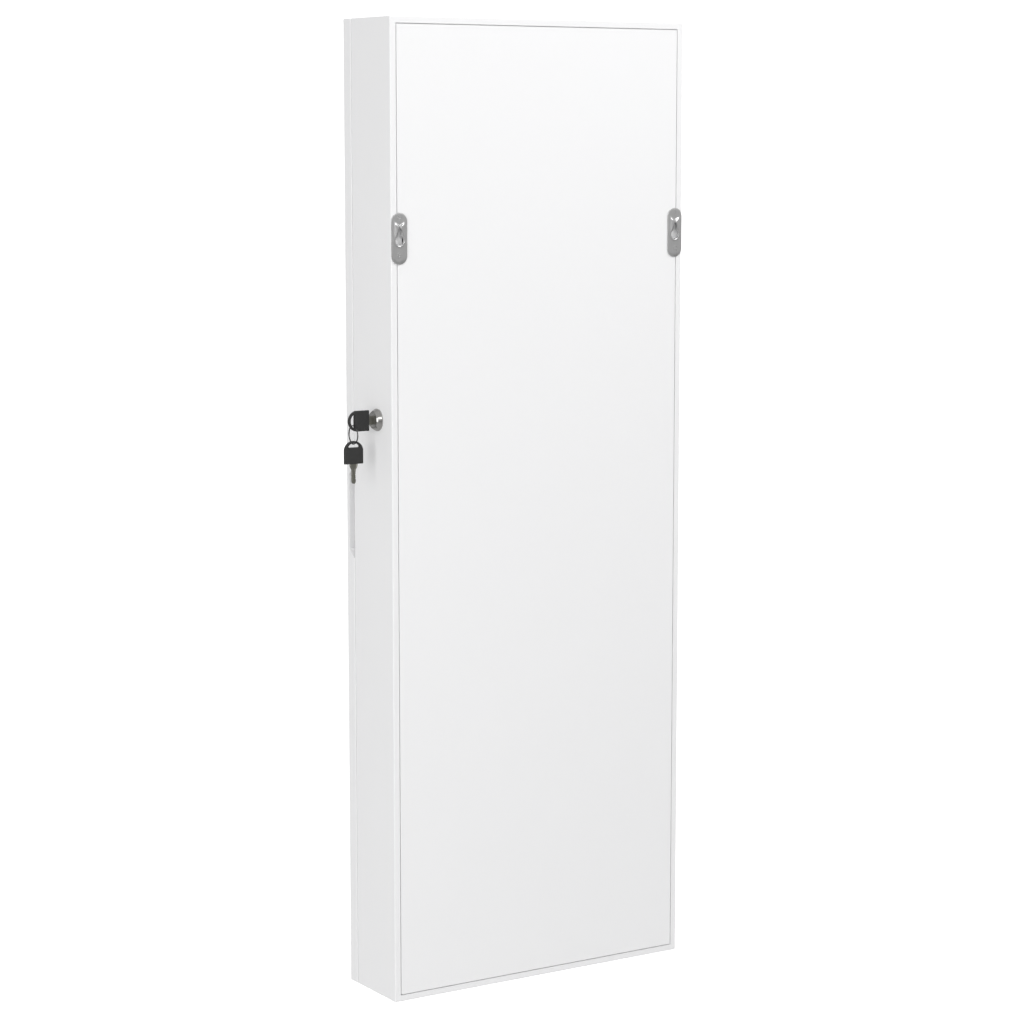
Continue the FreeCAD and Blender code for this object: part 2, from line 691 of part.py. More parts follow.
def velvet_back_board():
    """The velvet-covered board in front of the back panel."""
    gap = "Sizes.velvet_board_clearance"
    low = f"Layout.bottom_z + Sizes.board_thickness + {gap}"
    board = new_body("velvet_back_board", f"-Layout.inner_half_width + {gap}", "Layout.velvet_y", low)
    width = f"Layout.inner_width - 2 * {gap}"
    height = f"Sizes.cabinet_height - 2 * Sizes.board_thickness - 2 * {gap}"
    block(board, "Sheet", (0, 0, 0), (width, "Sizes.velvet_board_thickness", height))


# Wall hangers

def upright_slot(sketch, half_width, low, high):
    """An upright outline with round ends, from one height to another."""
    low_centre = f"{low} + {half_width}"
    high_centre = f"{high} - ({half_width})"
    points = [
        (f"-({half_width})", high_centre),
        (f"-({half_width})", low_centre),
        (half_width, low_centre),
        (half_width, high_centre),
    ]
    draw_outline(sketch, points, [(1, half_width), (3, half_width)])


def hanger_plate(label, x):
    """A pressed steel keyhole plate. Its origin is the centre of the round entry hole, in the wall plane."""
    plate = new_body(label, x, 0, 0)
    offset = "Sizes.hanger_rise - Sizes.hanger_plate_thickness"
    sketch = new_sketch(plate, "PlateOutline", "XZ_Plane", offset)
    half_plate = "Sizes.hanger_plate_width / 2"
    upright_slot(sketch, half_plate, "-Sizes.hanger_plate_below", "Sizes.hanger_plate_above")
    pad(plate, "Plate", sketch, "Sizes.hanger_plate_thickness")
    dome = new_sketch(plate, "DomeOutline", "XZ_Plane")
    low = "-Sizes.hanger_dome_width / 2"
    upright_slot(dome, "Sizes.hanger_dome_width / 2", low, "Sizes.hanger_dome_above")
    pad(plate, "Dome", dome, "Sizes.hanger_rise")
    round_edges(
        plate,
        "DomeRounding",
        "Sizes.hanger_dome_rounding",
        lambda edge, middle: abs(middle.y) < NEAR,
    )
    wall = "Sizes.hanger_plate_thickness"
    hollow = new_sketch(plate, "HollowOutline", "XZ_Plane", wall)
    top = f"Sizes.hanger_dome_above - {wall}"
    upright_slot(hollow, f"Sizes.hanger_dome_width / 2 - {wall}", f"{low} + {wall}", top)
    pocket(plate, "Hollow", hollow, "Sizes.hanger_rise", reverse=True)
    half_slot = "Sizes.hanger_slot_width / 2"
    slot = new_sketch(plate, "SlotOutline", "XZ_Plane")
    upright_slot(slot, half_slot, f"-({half_slot})", "Sizes.hanger_slot_above")
    pocket(plate, "KeySlot", slot, wall, reverse=True)
    start = (0, f"-({wall})", 0)
    cylinder(plate, "EntryHole", "y", start, "Sizes.hanger_entry_diameter / 2", wall, True)
    for height in ("Layout.hanger_screw_high", "Layout.hanger_screw_low"):
        countersink(plate, "ScrewSeat", "-y", (0, f"-({offset})", height), wall)


def hanger_screws():
    """Four screws, two through each hanger."""
    screws = []
    for x in ("-Layout.hanger_x", "Layout.hanger_x"):
        for height in ("Layout.hanger_screw_high", "Layout.hanger_screw_low"):
            start = (x, "Sizes.hanger_plate_thickness - Sizes.hanger_rise", height)
            screws.append(screw("-y", start, "Sizes.screw_length", "Sizes.hanger_plate_thickness"))
    group("hanger_screws", screws)


# Door

def door_frame():
    """The white frame round the mirror, rebated at its rear, with a finger pull in its lock-side edge."""
    frame = new_body("door_frame", "-Layout.half_width", "Layout.front_y", "Layout.bottom_z")
    block(frame, "Slab", (0, 0, 0), ("Sizes.cabinet_width", "Sizes.door_thickness", "Sizes.cabinet_height"))
    round_edges(frame, "SoftEdges", "Sizes.edge_radius", lambda edge, middle: True)
    corner = ("Sizes.frame_width", 0, "Sizes.frame_width")
    size = ("Layout.opening_width", "Sizes.door_thickness", "Layout.opening_height")
    block(frame, "Opening", corner, size, cut=True)
    width = value("Sizes.frame_width")

    def at_opening(edge, middle):
        inside_x = width - NEAR < middle.x < value("Sizes.cabinet_width") - width + NEAR
        inside_z = width - NEAR < middle.z < value("Sizes.cabinet_height") - width + NEAR
        return abs(middle.y) < NEAR and inside_x and inside_z

    round_edges(frame, "OpeningBevel", "Sizes.frame_chamfer", at_opening, kind="Chamfer")
    inset = "Layout.rebate_inset"
    size = (
        f"Sizes.cabinet_width - 2 * {inset}",
        "Sizes.door_thickness - Sizes.frame_lip",
        f"Sizes.cabinet_height - 2 * {inset}",
    )
    block(frame, "GlassRebate", (inset, "Sizes.frame_lip", inset), size, cut=True)
    finger_pull(frame)
    for bottom in hinge_centres().values():
        corner = (0, "Sizes.door_thickness - Layout.leaf_mortise", bottom)
        size = ("Sizes.leaf_reach", "Layout.leaf_mortise", "Sizes.leaf_height")
        block(frame, "LeafMortise", corner, size, cut=True)
        for height in leaf_screw_heights(bottom):
            x = "Layout.leaf_screw_x + Layout.hinge_x + Layout.half_width"
            rear_hole(frame, x, height, "Sizes.short_screw_length + Layout.leaf_mortise")
    stile_x = "Layout.stile_middle_x + Layout.half_width"
    for height in striker_screw_heights():
        rear_hole(frame, stile_x, f"{height} - Layout.bottom_z", "Sizes.short_screw_length")
    for bottom in catch_heights():
        for height in catch_screw_heights(bottom):
            rear_hole(frame, stile_x, height, "Sizes.short_screw_length")


def rear_hole(frame, x, height, depth):
    """A screw hole in the door's rear face."""
    start = (x, f"Sizes.door_thickness - ({depth})", height)
    cylinder(frame, "ScrewHole", "y", start, "Sizes.screw_diameter / 2", depth, True)


def finger_pull(frame):
    """A notch with sloped ends in the rear corner of the lock-side stile."""
    sketch = new_sketch(frame, "PullOutline", "YZ_Plane", "Sizes.cabinet_width")
    low = "Layout.pull_bottom"
    high = "Layout.pull_bottom + Sizes.pull_length"
    rear = "Sizes.door_thickness"
    points = [
        (rear, low),
        (rear, high),
        ("Sizes.pull_front_wall", f"{high} - Layout.pull_depth"),
        ("Sizes.pull_front_wall", f"{low} + Layout.pull_depth"),
    ]
    draw_outline(sketch, points)
    pocket(frame, "FingerPull", sketch, "Sizes.pull_inset")


def rebated_sheet(label, depth, thickness):
    """A sheet that lies in the door's rebate, at a depth behind the front face."""
    inset = "Layout.glass_inset"
    start = (f"-Layout.half_width + {inset}", f"Layout.front_y + {depth}", f"Layout.bottom_z + {inset}")
    sheet = new_body(label, *start)
    size = (f"Sizes.cabinet_width - 2 * {inset}", thickness, f"Sizes.cabinet_height - 2 * {inset}")
    block(sheet, "Sheet", (0, 0, 0), size)


# Hinges

def hinge_leaf(label, bottom, side):
    """One leaf of a butt hinge. Its origin is the lower end of the pin's axis. Side +1 is the carcass's."""
    leaf = new_body(label, "Layout.hinge_x", "Layout.seam_y", f"Layout.bottom_z + {bottom}")
    near = "Sizes.leaf_gap / 2" if side > 0 else "-Sizes.leaf_gap / 2 - Sizes.leaf_thickness"
    reach = "Sizes.knuckle_diameter / 2 + Sizes.knuckle_clearance + Sizes.leaf_reach - Layout.leaf_root"
    block(leaf, "Plate", ("Layout.leaf_root", near, 0), (reach, "Sizes.leaf_thickness", "Sizes.leaf_height"))
    own = range(0, HINGE_KNUCKLES, 2) if side > 0 else range(1, HINGE_KNUCKLES, 2)
    tab_start = "Sizes.pin_diameter / 2 + Sizes.pin_running_clearance + Sizes.knuckle_clearance"
    for number in own:
        low = f"{number} * Layout.knuckle_pitch + Sizes.knuckle_end_gap / 2"
        tall = "Layout.knuckle_pitch - Sizes.knuckle_end_gap"
        size = (f"Layout.leaf_root - ({tab_start})", "Sizes.leaf_thickness", tall)
        block(leaf, "Tab", (tab_start, near, low), size)
        cylinder(leaf, "Knuckle", "z", (0, 0, low), "Sizes.knuckle_diameter / 2", tall)
    radius = "Sizes.pin_diameter / 2 + Sizes.pin_running_clearance"
    cylinder(leaf, "PinBore", "z", (0, 0, 0), radius, "Sizes.leaf_height", True)
    for step in (-1, 0, 1):
        height = f"Sizes.leaf_height / 2 + {step} * Sizes.leaf_screw_spacing"
        along, y = ("y", "Sizes.leaf_gap / 2") if side > 0 else ("-y", "-Sizes.leaf_gap / 2")
        countersink(leaf, "ScrewSeat", along, ("Layout.leaf_screw_x", y, height), "Sizes.leaf_thickness")


def hinge_pins():
    """Three hinge pins with a cap at each end."""
    pins = []
    for bottom in hinge_centres().values():
        low = f"Layout.bottom_z + {bottom}"
        shaft = plain_cylinder("z", (0, 0, 0), "Sizes.pin_diameter / 2", "Sizes.leaf_height")
        cap = "Sizes.pin_cap_thickness"
        lower_cap = plain_cylinder("z", (0, 0, f"-({cap})"), "Sizes.knuckle_diameter / 2", cap)
        upper_cap = plain_cylinder("z", (0, 0, "Sizes.leaf_height"), "Sizes.knuckle_diameter / 2", cap)
        start = ("Layout.hinge_x", "Layout.seam_y", low)
        pins.append(joined([shaft, lower_cap, upper_cap], "z", start))
    group("hinge_pins", pins)


def hinge_screws():
    """Nine screws into the carcass, and nine shorter ones into the door."""
    x = "Layout.hinge_x + Layout.leaf_screw_x"
    carcass, door = [], []
    for bottom in hinge_centres().values():
        for height in leaf_screw_heights(bottom):
            z = f"Layout.bottom_z + {height}"
            length = "Sizes.screw_length - Layout.leaf_mortise + Sizes.leaf_thickness"
            carcass.append(screw("y", (x, "Layout.seam_y + Sizes.leaf_gap / 2", z), length))
            length = "Sizes.short_screw_length + Sizes.leaf_thickness"
            door.append(screw("-y", (x, "Layout.seam_y - Sizes.leaf_gap / 2", z), length))
    group("hinge_carcass_screws", carcass)
    group("hinge_door_screws", door)


# Cam lock

def lock_housing():
    """The fixed barrel with its bezel. Local x = 0 is the side panel's outer face."""
    housing = new_body("lock_housing", "Layout.half_width", "Layout.lock_y", "Layout.lock_z")
    bore = "Layout.plug_radius + Sizes.plug_running_clearance"
    flange = "Sizes.plug_flange_diameter / 2 + Sizes.plug_running_clearance"
    barrel = "Sizes.barrel_diameter / 2"
    points = [
        ("-Sizes.barrel_length", bore),
        ("-Sizes.barrel_length", barrel),
        ("0", barrel),
        ("0", "Sizes.bezel_diameter / 2"),
        ("Sizes.bezel_edge", "Sizes.bezel_diameter / 2"),
        ("Sizes.bezel_rise - Sizes.bezel_edge", "Sizes.bezel_face_diameter / 2"),
        ("Sizes.bezel_rise", "Sizes.bezel_face_diameter / 2 - Sizes.bezel_edge"),
        ("Sizes.bezel_rise", flange),
        ("Layout.flange_seat", flange),
        ("Layout.flange_seat", bore),
    ]
    sketch = new_sketch(housing, "Profile", "XZ_Plane")
    draw_outline(sketch, points)
    revolve(housing, "Turned", sketch)


def lock_nut():
    """The hexagonal nut that clamps the barrel inside the side panel."""
    start = "Layout.inner_half_width - Sizes.nut_thickness"
    nut = new_body("lock_nut", start, "Layout.lock_y", "Layout.lock_z")
    prism = nut.newObject("PartDesign::AdditivePrism", "Hexagon")
    prism.Polygon = 6
    turn(prism, "y", 90)
    bind(prism, Circumradius="Sizes.nut_across_flats / sqrt(3)", Height="Sizes.nut_thickness")
    cylinder(nut, "Bore", "x", (0, 0, 0), "Sizes.barrel_diameter / 2", "Sizes.nut_thickness", True)


def lock_plug():
    """The plug that the key turns, with a square shank for the cam."""
    plug = new_body("lock_plug", "Layout.half_width", "Layout.lock_y", "Layout.lock_z")
    end = "-Sizes.barrel_length - Sizes.plug_end_play"
    front = "Sizes.bezel_rise - Sizes.plug_end_play"
    flange = "Sizes.plug_flange_diameter / 2"
    points = [
        (end, 0),
        (end, "Layout.plug_radius"),
        ("Layout.flange_seat + Sizes.plug_end_play", "Layout.plug_radius"),
        ("Layout.flange_seat + Sizes.plug_end_play", flange),
        (front, flange),
        (front, 0),
    ]
    sketch = new_sketch(plug, "Profile", "XZ_Plane")
    draw_outline(sketch, points)
    revolve(plug, "Turned", sketch)
    half = "Sizes.shank_width / 2"
    corner = (f"{end} - Sizes.cam_thickness", f"-({half})", f"-({half})")
    block(plug, "Shank", corner, ("Sizes.cam_thickness", "Sizes.shank_width", "Sizes.shank_width"))
    wide = "Sizes.blade_thickness + 2 * Sizes.keyway_clearance"
    tall = "Sizes.blade_width + 2 * Sizes.keyway_clearance"
    deep = "Sizes.blade_length + 2 * Sizes.keyway_clearance"
    corner = (f"{front} - ({deep})", f"-({wide}) / 2", f"-({tall}) / 2")
    block(plug, "Keyway", corner, (deep, wide, tall), cut=True)
    start = (f"{end} - Sizes.cam_thickness", 0, 0)
    length = "Sizes.cam_thickness + Sizes.shank_width"
    cylinder(plug, "ScrewHole", "x", start, "Sizes.screw_diameter / 2", length, True)


def lock_cam():
    """The flat cam on the plug's shank. It points forward when unlocked and down when locked."""
    cam = new_body("lock_cam", "Layout.cam_x", "Layout.lock_y", "Layout.lock_z")
    half = "Sizes.cam_width / 2"
    sketch = new_sketch(cam, "Outline", "YZ_Plane")
    tip = f"-(Sizes.cam_length - {half})"
    heel = "Sizes.shank_width / 2"
    points = [(heel, half), (tip, half), (tip, f"-({half})"), (heel, f"-({half})")]
    draw_outline(sketch, points, [(1, half), (3, f"{half} / 2")])
    pad(cam, "Plate", sketch, "Sizes.cam_thickness")
    corner = (0, "-Sizes.shank_width / 2", "-Sizes.shank_width / 2")
    size = ("Sizes.cam_thickness", "Sizes.shank_width", "Sizes.shank_width")
    block(cam, "SquareHole", corner, size, cut=True)


def cam_screw():
    """The screw that holds the cam on its shank."""
    fastener = new_body("cam_screw", "Layout.cam_x", "Layout.lock_y", "Layout.lock_z")
    head_height = "Sizes.cam_screw_head_height"
    start = (f"-({head_height})", 0, 0)
    cylinder(fastener, "Head", "x", start, "Sizes.cam_screw_head_diameter / 2", head_height)
    length = "Sizes.cam_thickness + Sizes.shank_width"
    cylinder(fastener, "Shank", "x", (0, 0, 0), "Sizes.screw_diameter / 2", length)


def striker_bracket():
    """The hook plate on the door. The cam drops through its slot and holds the door shut."""
    top = "Layout.lock_z - Sizes.striker_drop"
    foot_low = f"{top} - Sizes.striker_thickness - Sizes.striker_foot_height"
    bracket = new_body("striker_bracket", "Layout.striker_inner_x", "Layout.door_rear_y", foot_low)
    foot_width = "Layout.inner_half_width - Sizes.seam_gap - Layout.striker_inner_x"
    tall = "Sizes.striker_foot_height + Sizes.striker_thickness"
    block(bracket, "Foot", (0, 0, 0), (foot_width, "Sizes.striker_thickness", tall))
    tongue_width = "Layout.striker_outer_x - Layout.striker_inner_x"
    tongue_length = "Layout.lock_y + Sizes.striker_slot_after + Sizes.striker_wall - Layout.door_rear_y"
    size = (tongue_width, tongue_length, "Sizes.striker_thickness")
    block(bracket, "Tongue", (0, 0, "Sizes.striker_foot_height"), size)
    slot_y = "Layout.lock_y - Sizes.striker_slot_before - Layout.door_rear_y"
    slot_size = (
        "Sizes.cam_thickness + 2 * Sizes.cam_clearance",
        "Sizes.striker_slot_before + Sizes.striker_slot_after",
        "Sizes.striker_thickness",
    )
    slot_corner = ("Sizes.striker_wall", slot_y, "Sizes.striker_foot_height")
    block(bracket, "CamSlot", slot_corner, slot_size, cut=True)
    screw_x = "Layout.stile_middle_x - Layout.striker_inner_x"
    for height in striker_screw_heights():
        z = f"{height} - ({foot_low})"
        seat = (screw_x, "Sizes.striker_thickness", z)
        countersink(bracket, "ScrewSeat", "-y", seat, "Sizes.leaf_thickness")
        radius = "Sizes.screw_diameter / 2"
        cylinder(bracket, "ScrewHole", "y", (screw_x, 0, z), radius, "Sizes.striker_thickness", True)


def striker_screw_heights():
    """Where the bracket's two screws enter the door's stile, as z in the cabinet."""
    low = "Layout.lock_z - Sizes.striker_drop - Sizes.striker_thickness - Sizes.striker_foot_height"
    return [f"{low} + Sizes.striker_low_screw", f"{low} + Sizes.striker_high_screw"]


def striker_screws():
    """Two screws through the striker bracket."""
    y = "Layout.door_rear_y + Sizes.striker_thickness"
    length = "Sizes.short_screw_length + Sizes.striker_thickness"
    spots = [("Layout.stile_middle_x", y, z) for z in striker_screw_heights()]
    group("striker_screws", [screw("-y", spot, length) for spot in spots])


# Keys

def key_head(label, start, upright):
    """The plastic head moulded over a key. Local x = 0 is its flat end, and it reaches along +x."""
    head = new_body(label)
    turn(head, "y", -90 if upright else 0)
    place(head, *start)
    half = "Sizes.head_width / 2"
    offset = "-Sizes.head_thickness / 2"
    outline = new_sketch(head, "HeadOutline", "XZ_Plane", offset)
    points = [(0, f"-({half})"), ("Sizes.head_side", f"-({half})"), ("Sizes.head_side", half), (0, half)]
    draw_outline(outline, points, [(1, "Sizes.head_length - Sizes.head_side")])
    pad(head, "Head", outline, "Sizes.head_thickness")
    bow = new_sketch(head, "BowOutline", "XZ_Plane", offset)
    half_bow = "Sizes.bow_width / 2"
    side_end = "Sizes.bow_start + Sizes.bow_side"
    points = [
        ("Sizes.bow_start", f"-({half_bow})"),
        (side_end, f"-({half_bow})"),
        (side_end, half_bow),
        ("Sizes.bow_start", half_bow),
    ]
    draw_outline(bow, points, [(1, "Sizes.bow_length - Sizes.bow_side")])
    pocket(head, "Bow", bow, "Sizes.head_thickness", reverse=True)
    face = value("Sizes.head_thickness") / 2

    def on_face(edge, middle):
        return abs(abs(middle.y) - face) < NEAR

    round_edges(head, "Rounding", "Sizes.head_rounding", on_face)
    corner = (0, "-Sizes.blade_thickness / 2", "-Sizes.tang_width / 2")
    size = ("Sizes.tang_length", "Sizes.blade_thickness", "Sizes.tang_width")
    block(head, "TangPocket", corner, size, cut=True)


def key_blade(label, start, upright):
    """A flat key's metal: a tang inside the head, a shoulder, and a blade with cuts along one edge."""
    blade = new_body(label)
    turn(blade, "y", -90 if upright else 0)
    place(blade, *start)
    sketch = new_sketch(blade, "Outline", "XZ_Plane", "-Sizes.blade_thickness / 2")
    half = "Sizes.blade_width / 2"
    tang = "Sizes.tang_width / 2"
    shoulder = "Sizes.shoulder_width / 2"
    tip = "-Sizes.shoulder_length - Sizes.blade_length"
    points = [
        ("Sizes.tang_length", f"-({tang})"),
        ("Sizes.tang_length", tang),
        (0, tang),
        (0, shoulder),
        ("-Sizes.shoulder_length", shoulder),
        ("-Sizes.shoulder_length", half),
        (f"{tip} + Sizes.blade_width / 2", half),
        (f"{tip} + Sizes.blade_width / 2", f"-({half})"),
    ]
    flat = "Sizes.blade_cut_width / 2"
    for number in range(BLADE_CUTS, 0, -1):
        middle = f"-Sizes.shoulder_length - {number} * Sizes.blade_cut_pitch"
        depth = f"-({half}) + Sizes.blade_cut_depth + {number} * Sizes.blade_cut_step"
        points += [
            (f"{middle} - {flat} - Sizes.blade_cut_slope", f"-({half})"),
            (f"{middle} - {flat}", depth),
            (f"{middle} + {flat}", depth),
            (f"{middle} + {flat} + Sizes.blade_cut_slope", f"-({half})"),
        ]
    points += [
        ("-Sizes.shoulder_length", f"-({half})"),
        ("-Sizes.shoulder_length", f"-({shoulder})"),
        (0, f"-({shoulder})"),
        (0, f"-({tang})"),
    ]
    draw_outline(sketch, points, [(6, "Sizes.blade_tip_rise")])
    pad(blade, "Metal", sketch, "Sizes.blade_thickness")


def key_ring():
    """The split ring's round wire, hung through the bow of the key in the lock."""
    ring = keep(doc.addObject("Part::Torus", "key_ring"), "key_ring")
    bind(ring, Radius1="Sizes.ring_diameter / 2", Radius2="Sizes.ring_wire / 2")
    turn(ring, "y", 90)
    place(ring, "Layout.ring_x", "Layout.lock_y", "Layout.ring_z")


# Catches and bumpers

def magnet_catches():
    """Two magnet catches on the lock side: plastic cases, magnets and screws."""
    cases, magnets, screws = [], [], []
    x = "Layout.inner_half_width - Sizes.catch_width"
    y = "Layout.carcass_front_y + Sizes.catch_setback"
    length = "Sizes.screw_length + Sizes.catch_screw_grip"
    for bottom in catch_heights():
        case = doc.addObject("Part::Box", "Case")
        bind(case, Length="Sizes.catch_width", Width="Sizes.catch_depth", Height="Sizes.catch_height")
        place(case, x, y, f"Layout.bottom_z + {bottom}")
        inset_x = f"{x} + (Sizes.catch_width - Sizes.magnet_width) / 2"
        inset_z = f"Layout.bottom_z + {bottom} + (Sizes.catch_height - Sizes.magnet_height) / 2"
        magnet = doc.addObject("Part::Box", "Magnet")
        bind(magnet, Length="Sizes.magnet_width", Width="Sizes.magnet_depth", Height="Sizes.magnet_height")
        place(magnet, inset_x, y, inset_z)
        own_screws = []
        for height in catch_screw_heights(bottom):
            spot = (x, f"Layout.carcass_front_y + {catch_screw_depth()}", f"Layout.bottom_z + {height}")
            own_screws.append(screw("x", spot, length))
        cutter = doc.addObject("Part::MultiFuse", "CaseHollows")
        cutter.Shapes = [magnet] + own_screws
        cut = doc.addObject("Part::Cut", "CutCase")
        cut.Base = case
        cut.Tool = cutter
        cases.append(cut)
        magnets.append(magnet)
        screws += own_screws
    group("magnet_catch_cases", cases)
    group("catch_magnets", magnets)
    group("catch_screws", screws)


def strike_plates():
    """Two steel plates on the door that the magnets hold, with their screws."""
    plates, screws = [], []
    width = "Layout.inner_half_width - Layout.stile_rear_x - 2 * Sizes.strike_clearance"
    screw_y = "Layout.door_rear_y + Sizes.strike_thickness"
    length = "Sizes.short_screw_length + Sizes.strike_thickness"
    for bottom in catch_heights():
        own_screws = []
        for height in catch_screw_heights(bottom):
            start = ("Layout.stile_middle_x", screw_y, f"Layout.bottom_z + {height}")
            own_screws.append(screw("-y", start, length))
        plate = doc.addObject("Part::Box", "Plate")
        bind(plate, Length=width, Width="Sizes.strike_thickness", Height="Sizes.catch_height")
        x = "Layout.stile_rear_x + Sizes.strike_clearance"
        place(plate, x, "Layout.door_rear_y", f"Layout.bottom_z + {bottom}")
        cutter = doc.addObject("Part::MultiFuse", "PlateHoles")
        cutter.Shapes = own_screws
        cut = doc.addObject("Part::Cut", "CutPlate")
        cut.Base = plate
        cut.Tool = cutter
        plates.append(cut)
        screws += own_screws
    group("strike_plates", plates)
    group("strike_plate_screws", screws)


def door_bumpers():
    """Two thin rubber dots that soften the door's closing."""
    x = "Layout.inner_half_width + Sizes.board_thickness / 2"
    heights = ("Sizes.bumper_end_distance", "Sizes.cabinet_height - Sizes.bumper_end_distance")
    y = "Layout.carcass_front_y - Sizes.bumper_thickness"
    radius = "Sizes.bumper_diameter / 2"
    spots = [(x, y, f"Layout.bottom_z + {height}") for height in heights]
    group("door_bumpers", [plain_cylinder("y", spot, radius, "Sizes.bumper_thickness") for spot in spots])


# Jewelry fittings in the carcass

def necklace_rail():
    """The rail across the top, glued to the velvet board."""
    start = (
        "-Layout.inner_half_width + Sizes.rail_end_gap",
        "Layout.velvet_y - Sizes.rail_deep",
        "Layout.bottom_z + Layout.rail_bottom",
    )
    rail = new_body("necklace_rail", *start)
    size = ("Layout.inner_width - 2 * Sizes.rail_end_gap", "Sizes.rail_deep", "Sizes.rail_tall")
    block(rail, "Strip", (0, 0, 0), size)
    round_edges(rail, "SoftEdges", "Sizes.edge_radius", lambda edge, middle: middle.y < NEAR)


def necklace_hooks():
    """A row of straight pegs with ball ends."""
    hooks = []
    y = "Layout.velvet_y - Sizes.rail_deep"
    z = "Layout.bottom_z + Layout.rail_bottom + Sizes.rail_tall / 2"
    for number in range(int(value("Sizes.hook_count"))):
        x = f"Layout.hook_pitch * ({number} - (Sizes.hook_count - 1) / 2)"
        base = plain_cylinder("z", (0, 0, 0), "Sizes.hook_base_diameter / 2", "Sizes.hook_base_thickness")
        peg = plain_cylinder("z", (0, 0, 0), "Sizes.hook_diameter / 2", "Sizes.hook_length")
        ball = doc.addObject("Part::Sphere", "Ball")
        bind(ball, Radius="Sizes.hook_ball_diameter / 2")
        place(ball, 0, 0, "Sizes.hook_length")
        hooks.append(joined([base, peg, ball], "-y", (x, y, z)))
    group("necklace_hooks", hooks)


def ring_tray():
    """The shallow tray that holds the ring rolls, glued to the velvet board."""
    start = (
        "-Layout.ring_tray_width / 2",
        "Layout.velvet_y - Sizes.ring_tray_deep",
        "Layout.bottom_z + Sizes.ring_tray_height",
    )
    tray = new_body("ring_tray", *start)
    size = ("Layout.ring_tray_width", "Sizes.ring_tray_deep", "Sizes.ring_tray_tall")
    block(tray, "Frame", (0, 0, 0), size)
    wall = "Sizes.ring_tray_wall"
    size = [f"{size[0]} - 2 * {wall}", f"{size[1]} - {wall}", f"{size[2]} - 2 * {wall}"]
    block(tray, "Hollow", (wall, 0, wall), size, cut=True)


def ring_rolls():
    """Soft foam rolls side by side, between which rings are pushed."""
    rolls = []
    radius = "(Layout.roll_pitch - Sizes.roll_clearance) / 2"
    gap = "Sizes.ring_tray_wall + Sizes.roll_clearance"
    x = f"-Layout.ring_tray_width / 2 + {gap}"
    length = f"Layout.ring_tray_width - 2 * ({gap})"
    y = f"Layout.velvet_y - Sizes.ring_tray_wall - ({radius})"
    for number in range(int(value("Sizes.roll_count"))):
        step = f"({number} + 0.5) * Layout.roll_pitch"
        z = f"Layout.bottom_z + Sizes.ring_tray_height + Sizes.ring_tray_wall + {step}"
        rolls.append(plain_cylinder("x", (x, y, z), radius, length))
    group("ring_rolls", rolls)


def bracelet_rod():
    """The round rod across the cabinet, held in two cups."""
    floor = "Sizes.cup_wall"
    start = (f"-Layout.inner_half_width + {floor}", "Layout.rod_y", "Layout.bottom_z + Sizes.rod_height")
    rod = new_body("bracelet_rod", *start)
    length = f"Layout.inner_width - 2 * {floor}"
    cylinder(rod, "Rod", "x", (0, 0, 0), "Sizes.rod_diameter / 2", length)


def rod_cups():
    """Two cups pegged into the side panels."""
    cups = []
    for side in (-1, 1):
        cup = plain_cylinder("z", (0, 0, 0), "Sizes.cup_diameter / 2", "Sizes.cup_length")
        peg = plain_cylinder("z", (0, 0, "-Sizes.peg_depth"), "Sizes.peg_diameter / 2", "Sizes.peg_depth")
        socket_depth = "Sizes.cup_length - Sizes.cup_wall"
        socket = plain_cylinder("z", (0, 0, "Sizes.cup_wall"), "Sizes.rod_diameter / 2", socket_depth)
        solid = doc.addObject("Part::MultiFuse", "CupSolid")
        solid.Shapes = [cup, peg]
        cut = doc.addObject("Part::Cut", "Cup")
        cut.Base = solid
        cut.Tool = socket
        x = "-Layout.inner_half_width" if side < 0 else "Layout.inner_half_width"
        turn(cut, *ALONG["x" if side < 0 else "-x"])
        place(cut, x, "Layout.rod_y", "Layout.bottom_z + Sizes.rod_height")
        cups.append(cut)
    group("rod_cups", cups)


def shelf(name, height):
    """A shelf and the low fence along its front."""
    gap = "Sizes.shelf_side_gap"
    x = f"-Layout.inner_half_width + {gap}"
    width = f"Layout.inner_width - 2 * {gap}"
    z = f"Layout.bottom_z + {height}"
    board = new_body(f"{name}_shelf", x, "Layout.shelf_front_y", z)
    depth = "Layout.velvet_y - Layout.shelf_front_y"
    block(board, "Board", (0, 0, 0), (width, depth, "Sizes.shelf_thickness"))
    fence = new_body(f"{name}_shelf_fence", x, "Layout.fence_front_y", z)
    block(fence, "Strip", (0, 0, 0), (width, "Sizes.fence_thickness", "Sizes.fence_height"))
    top = value("Sizes.fence_height")
    round_edges(fence, "SoftEdges", "Sizes.edge_radius", lambda edge, middle: middle.z > top - NEAR)


def shelf_pegs():
    """Four pegs under each shelf."""
    pegs = []
    length = "Sizes.peg_depth + Sizes.shelf_peg_reach"
    starts = ("-Layout.inner_half_width - Sizes.peg_depth", "Layout.inner_half_width - Sizes.shelf_peg_reach")
    for y, z in shelf_peg_places():
        for x in starts:
            pegs.append(plain_cylinder("x", (x, y, z), "Sizes.peg_diameter / 2", length))
    group("shelf_pegs", pegs)


# Jewelry fittings on the door

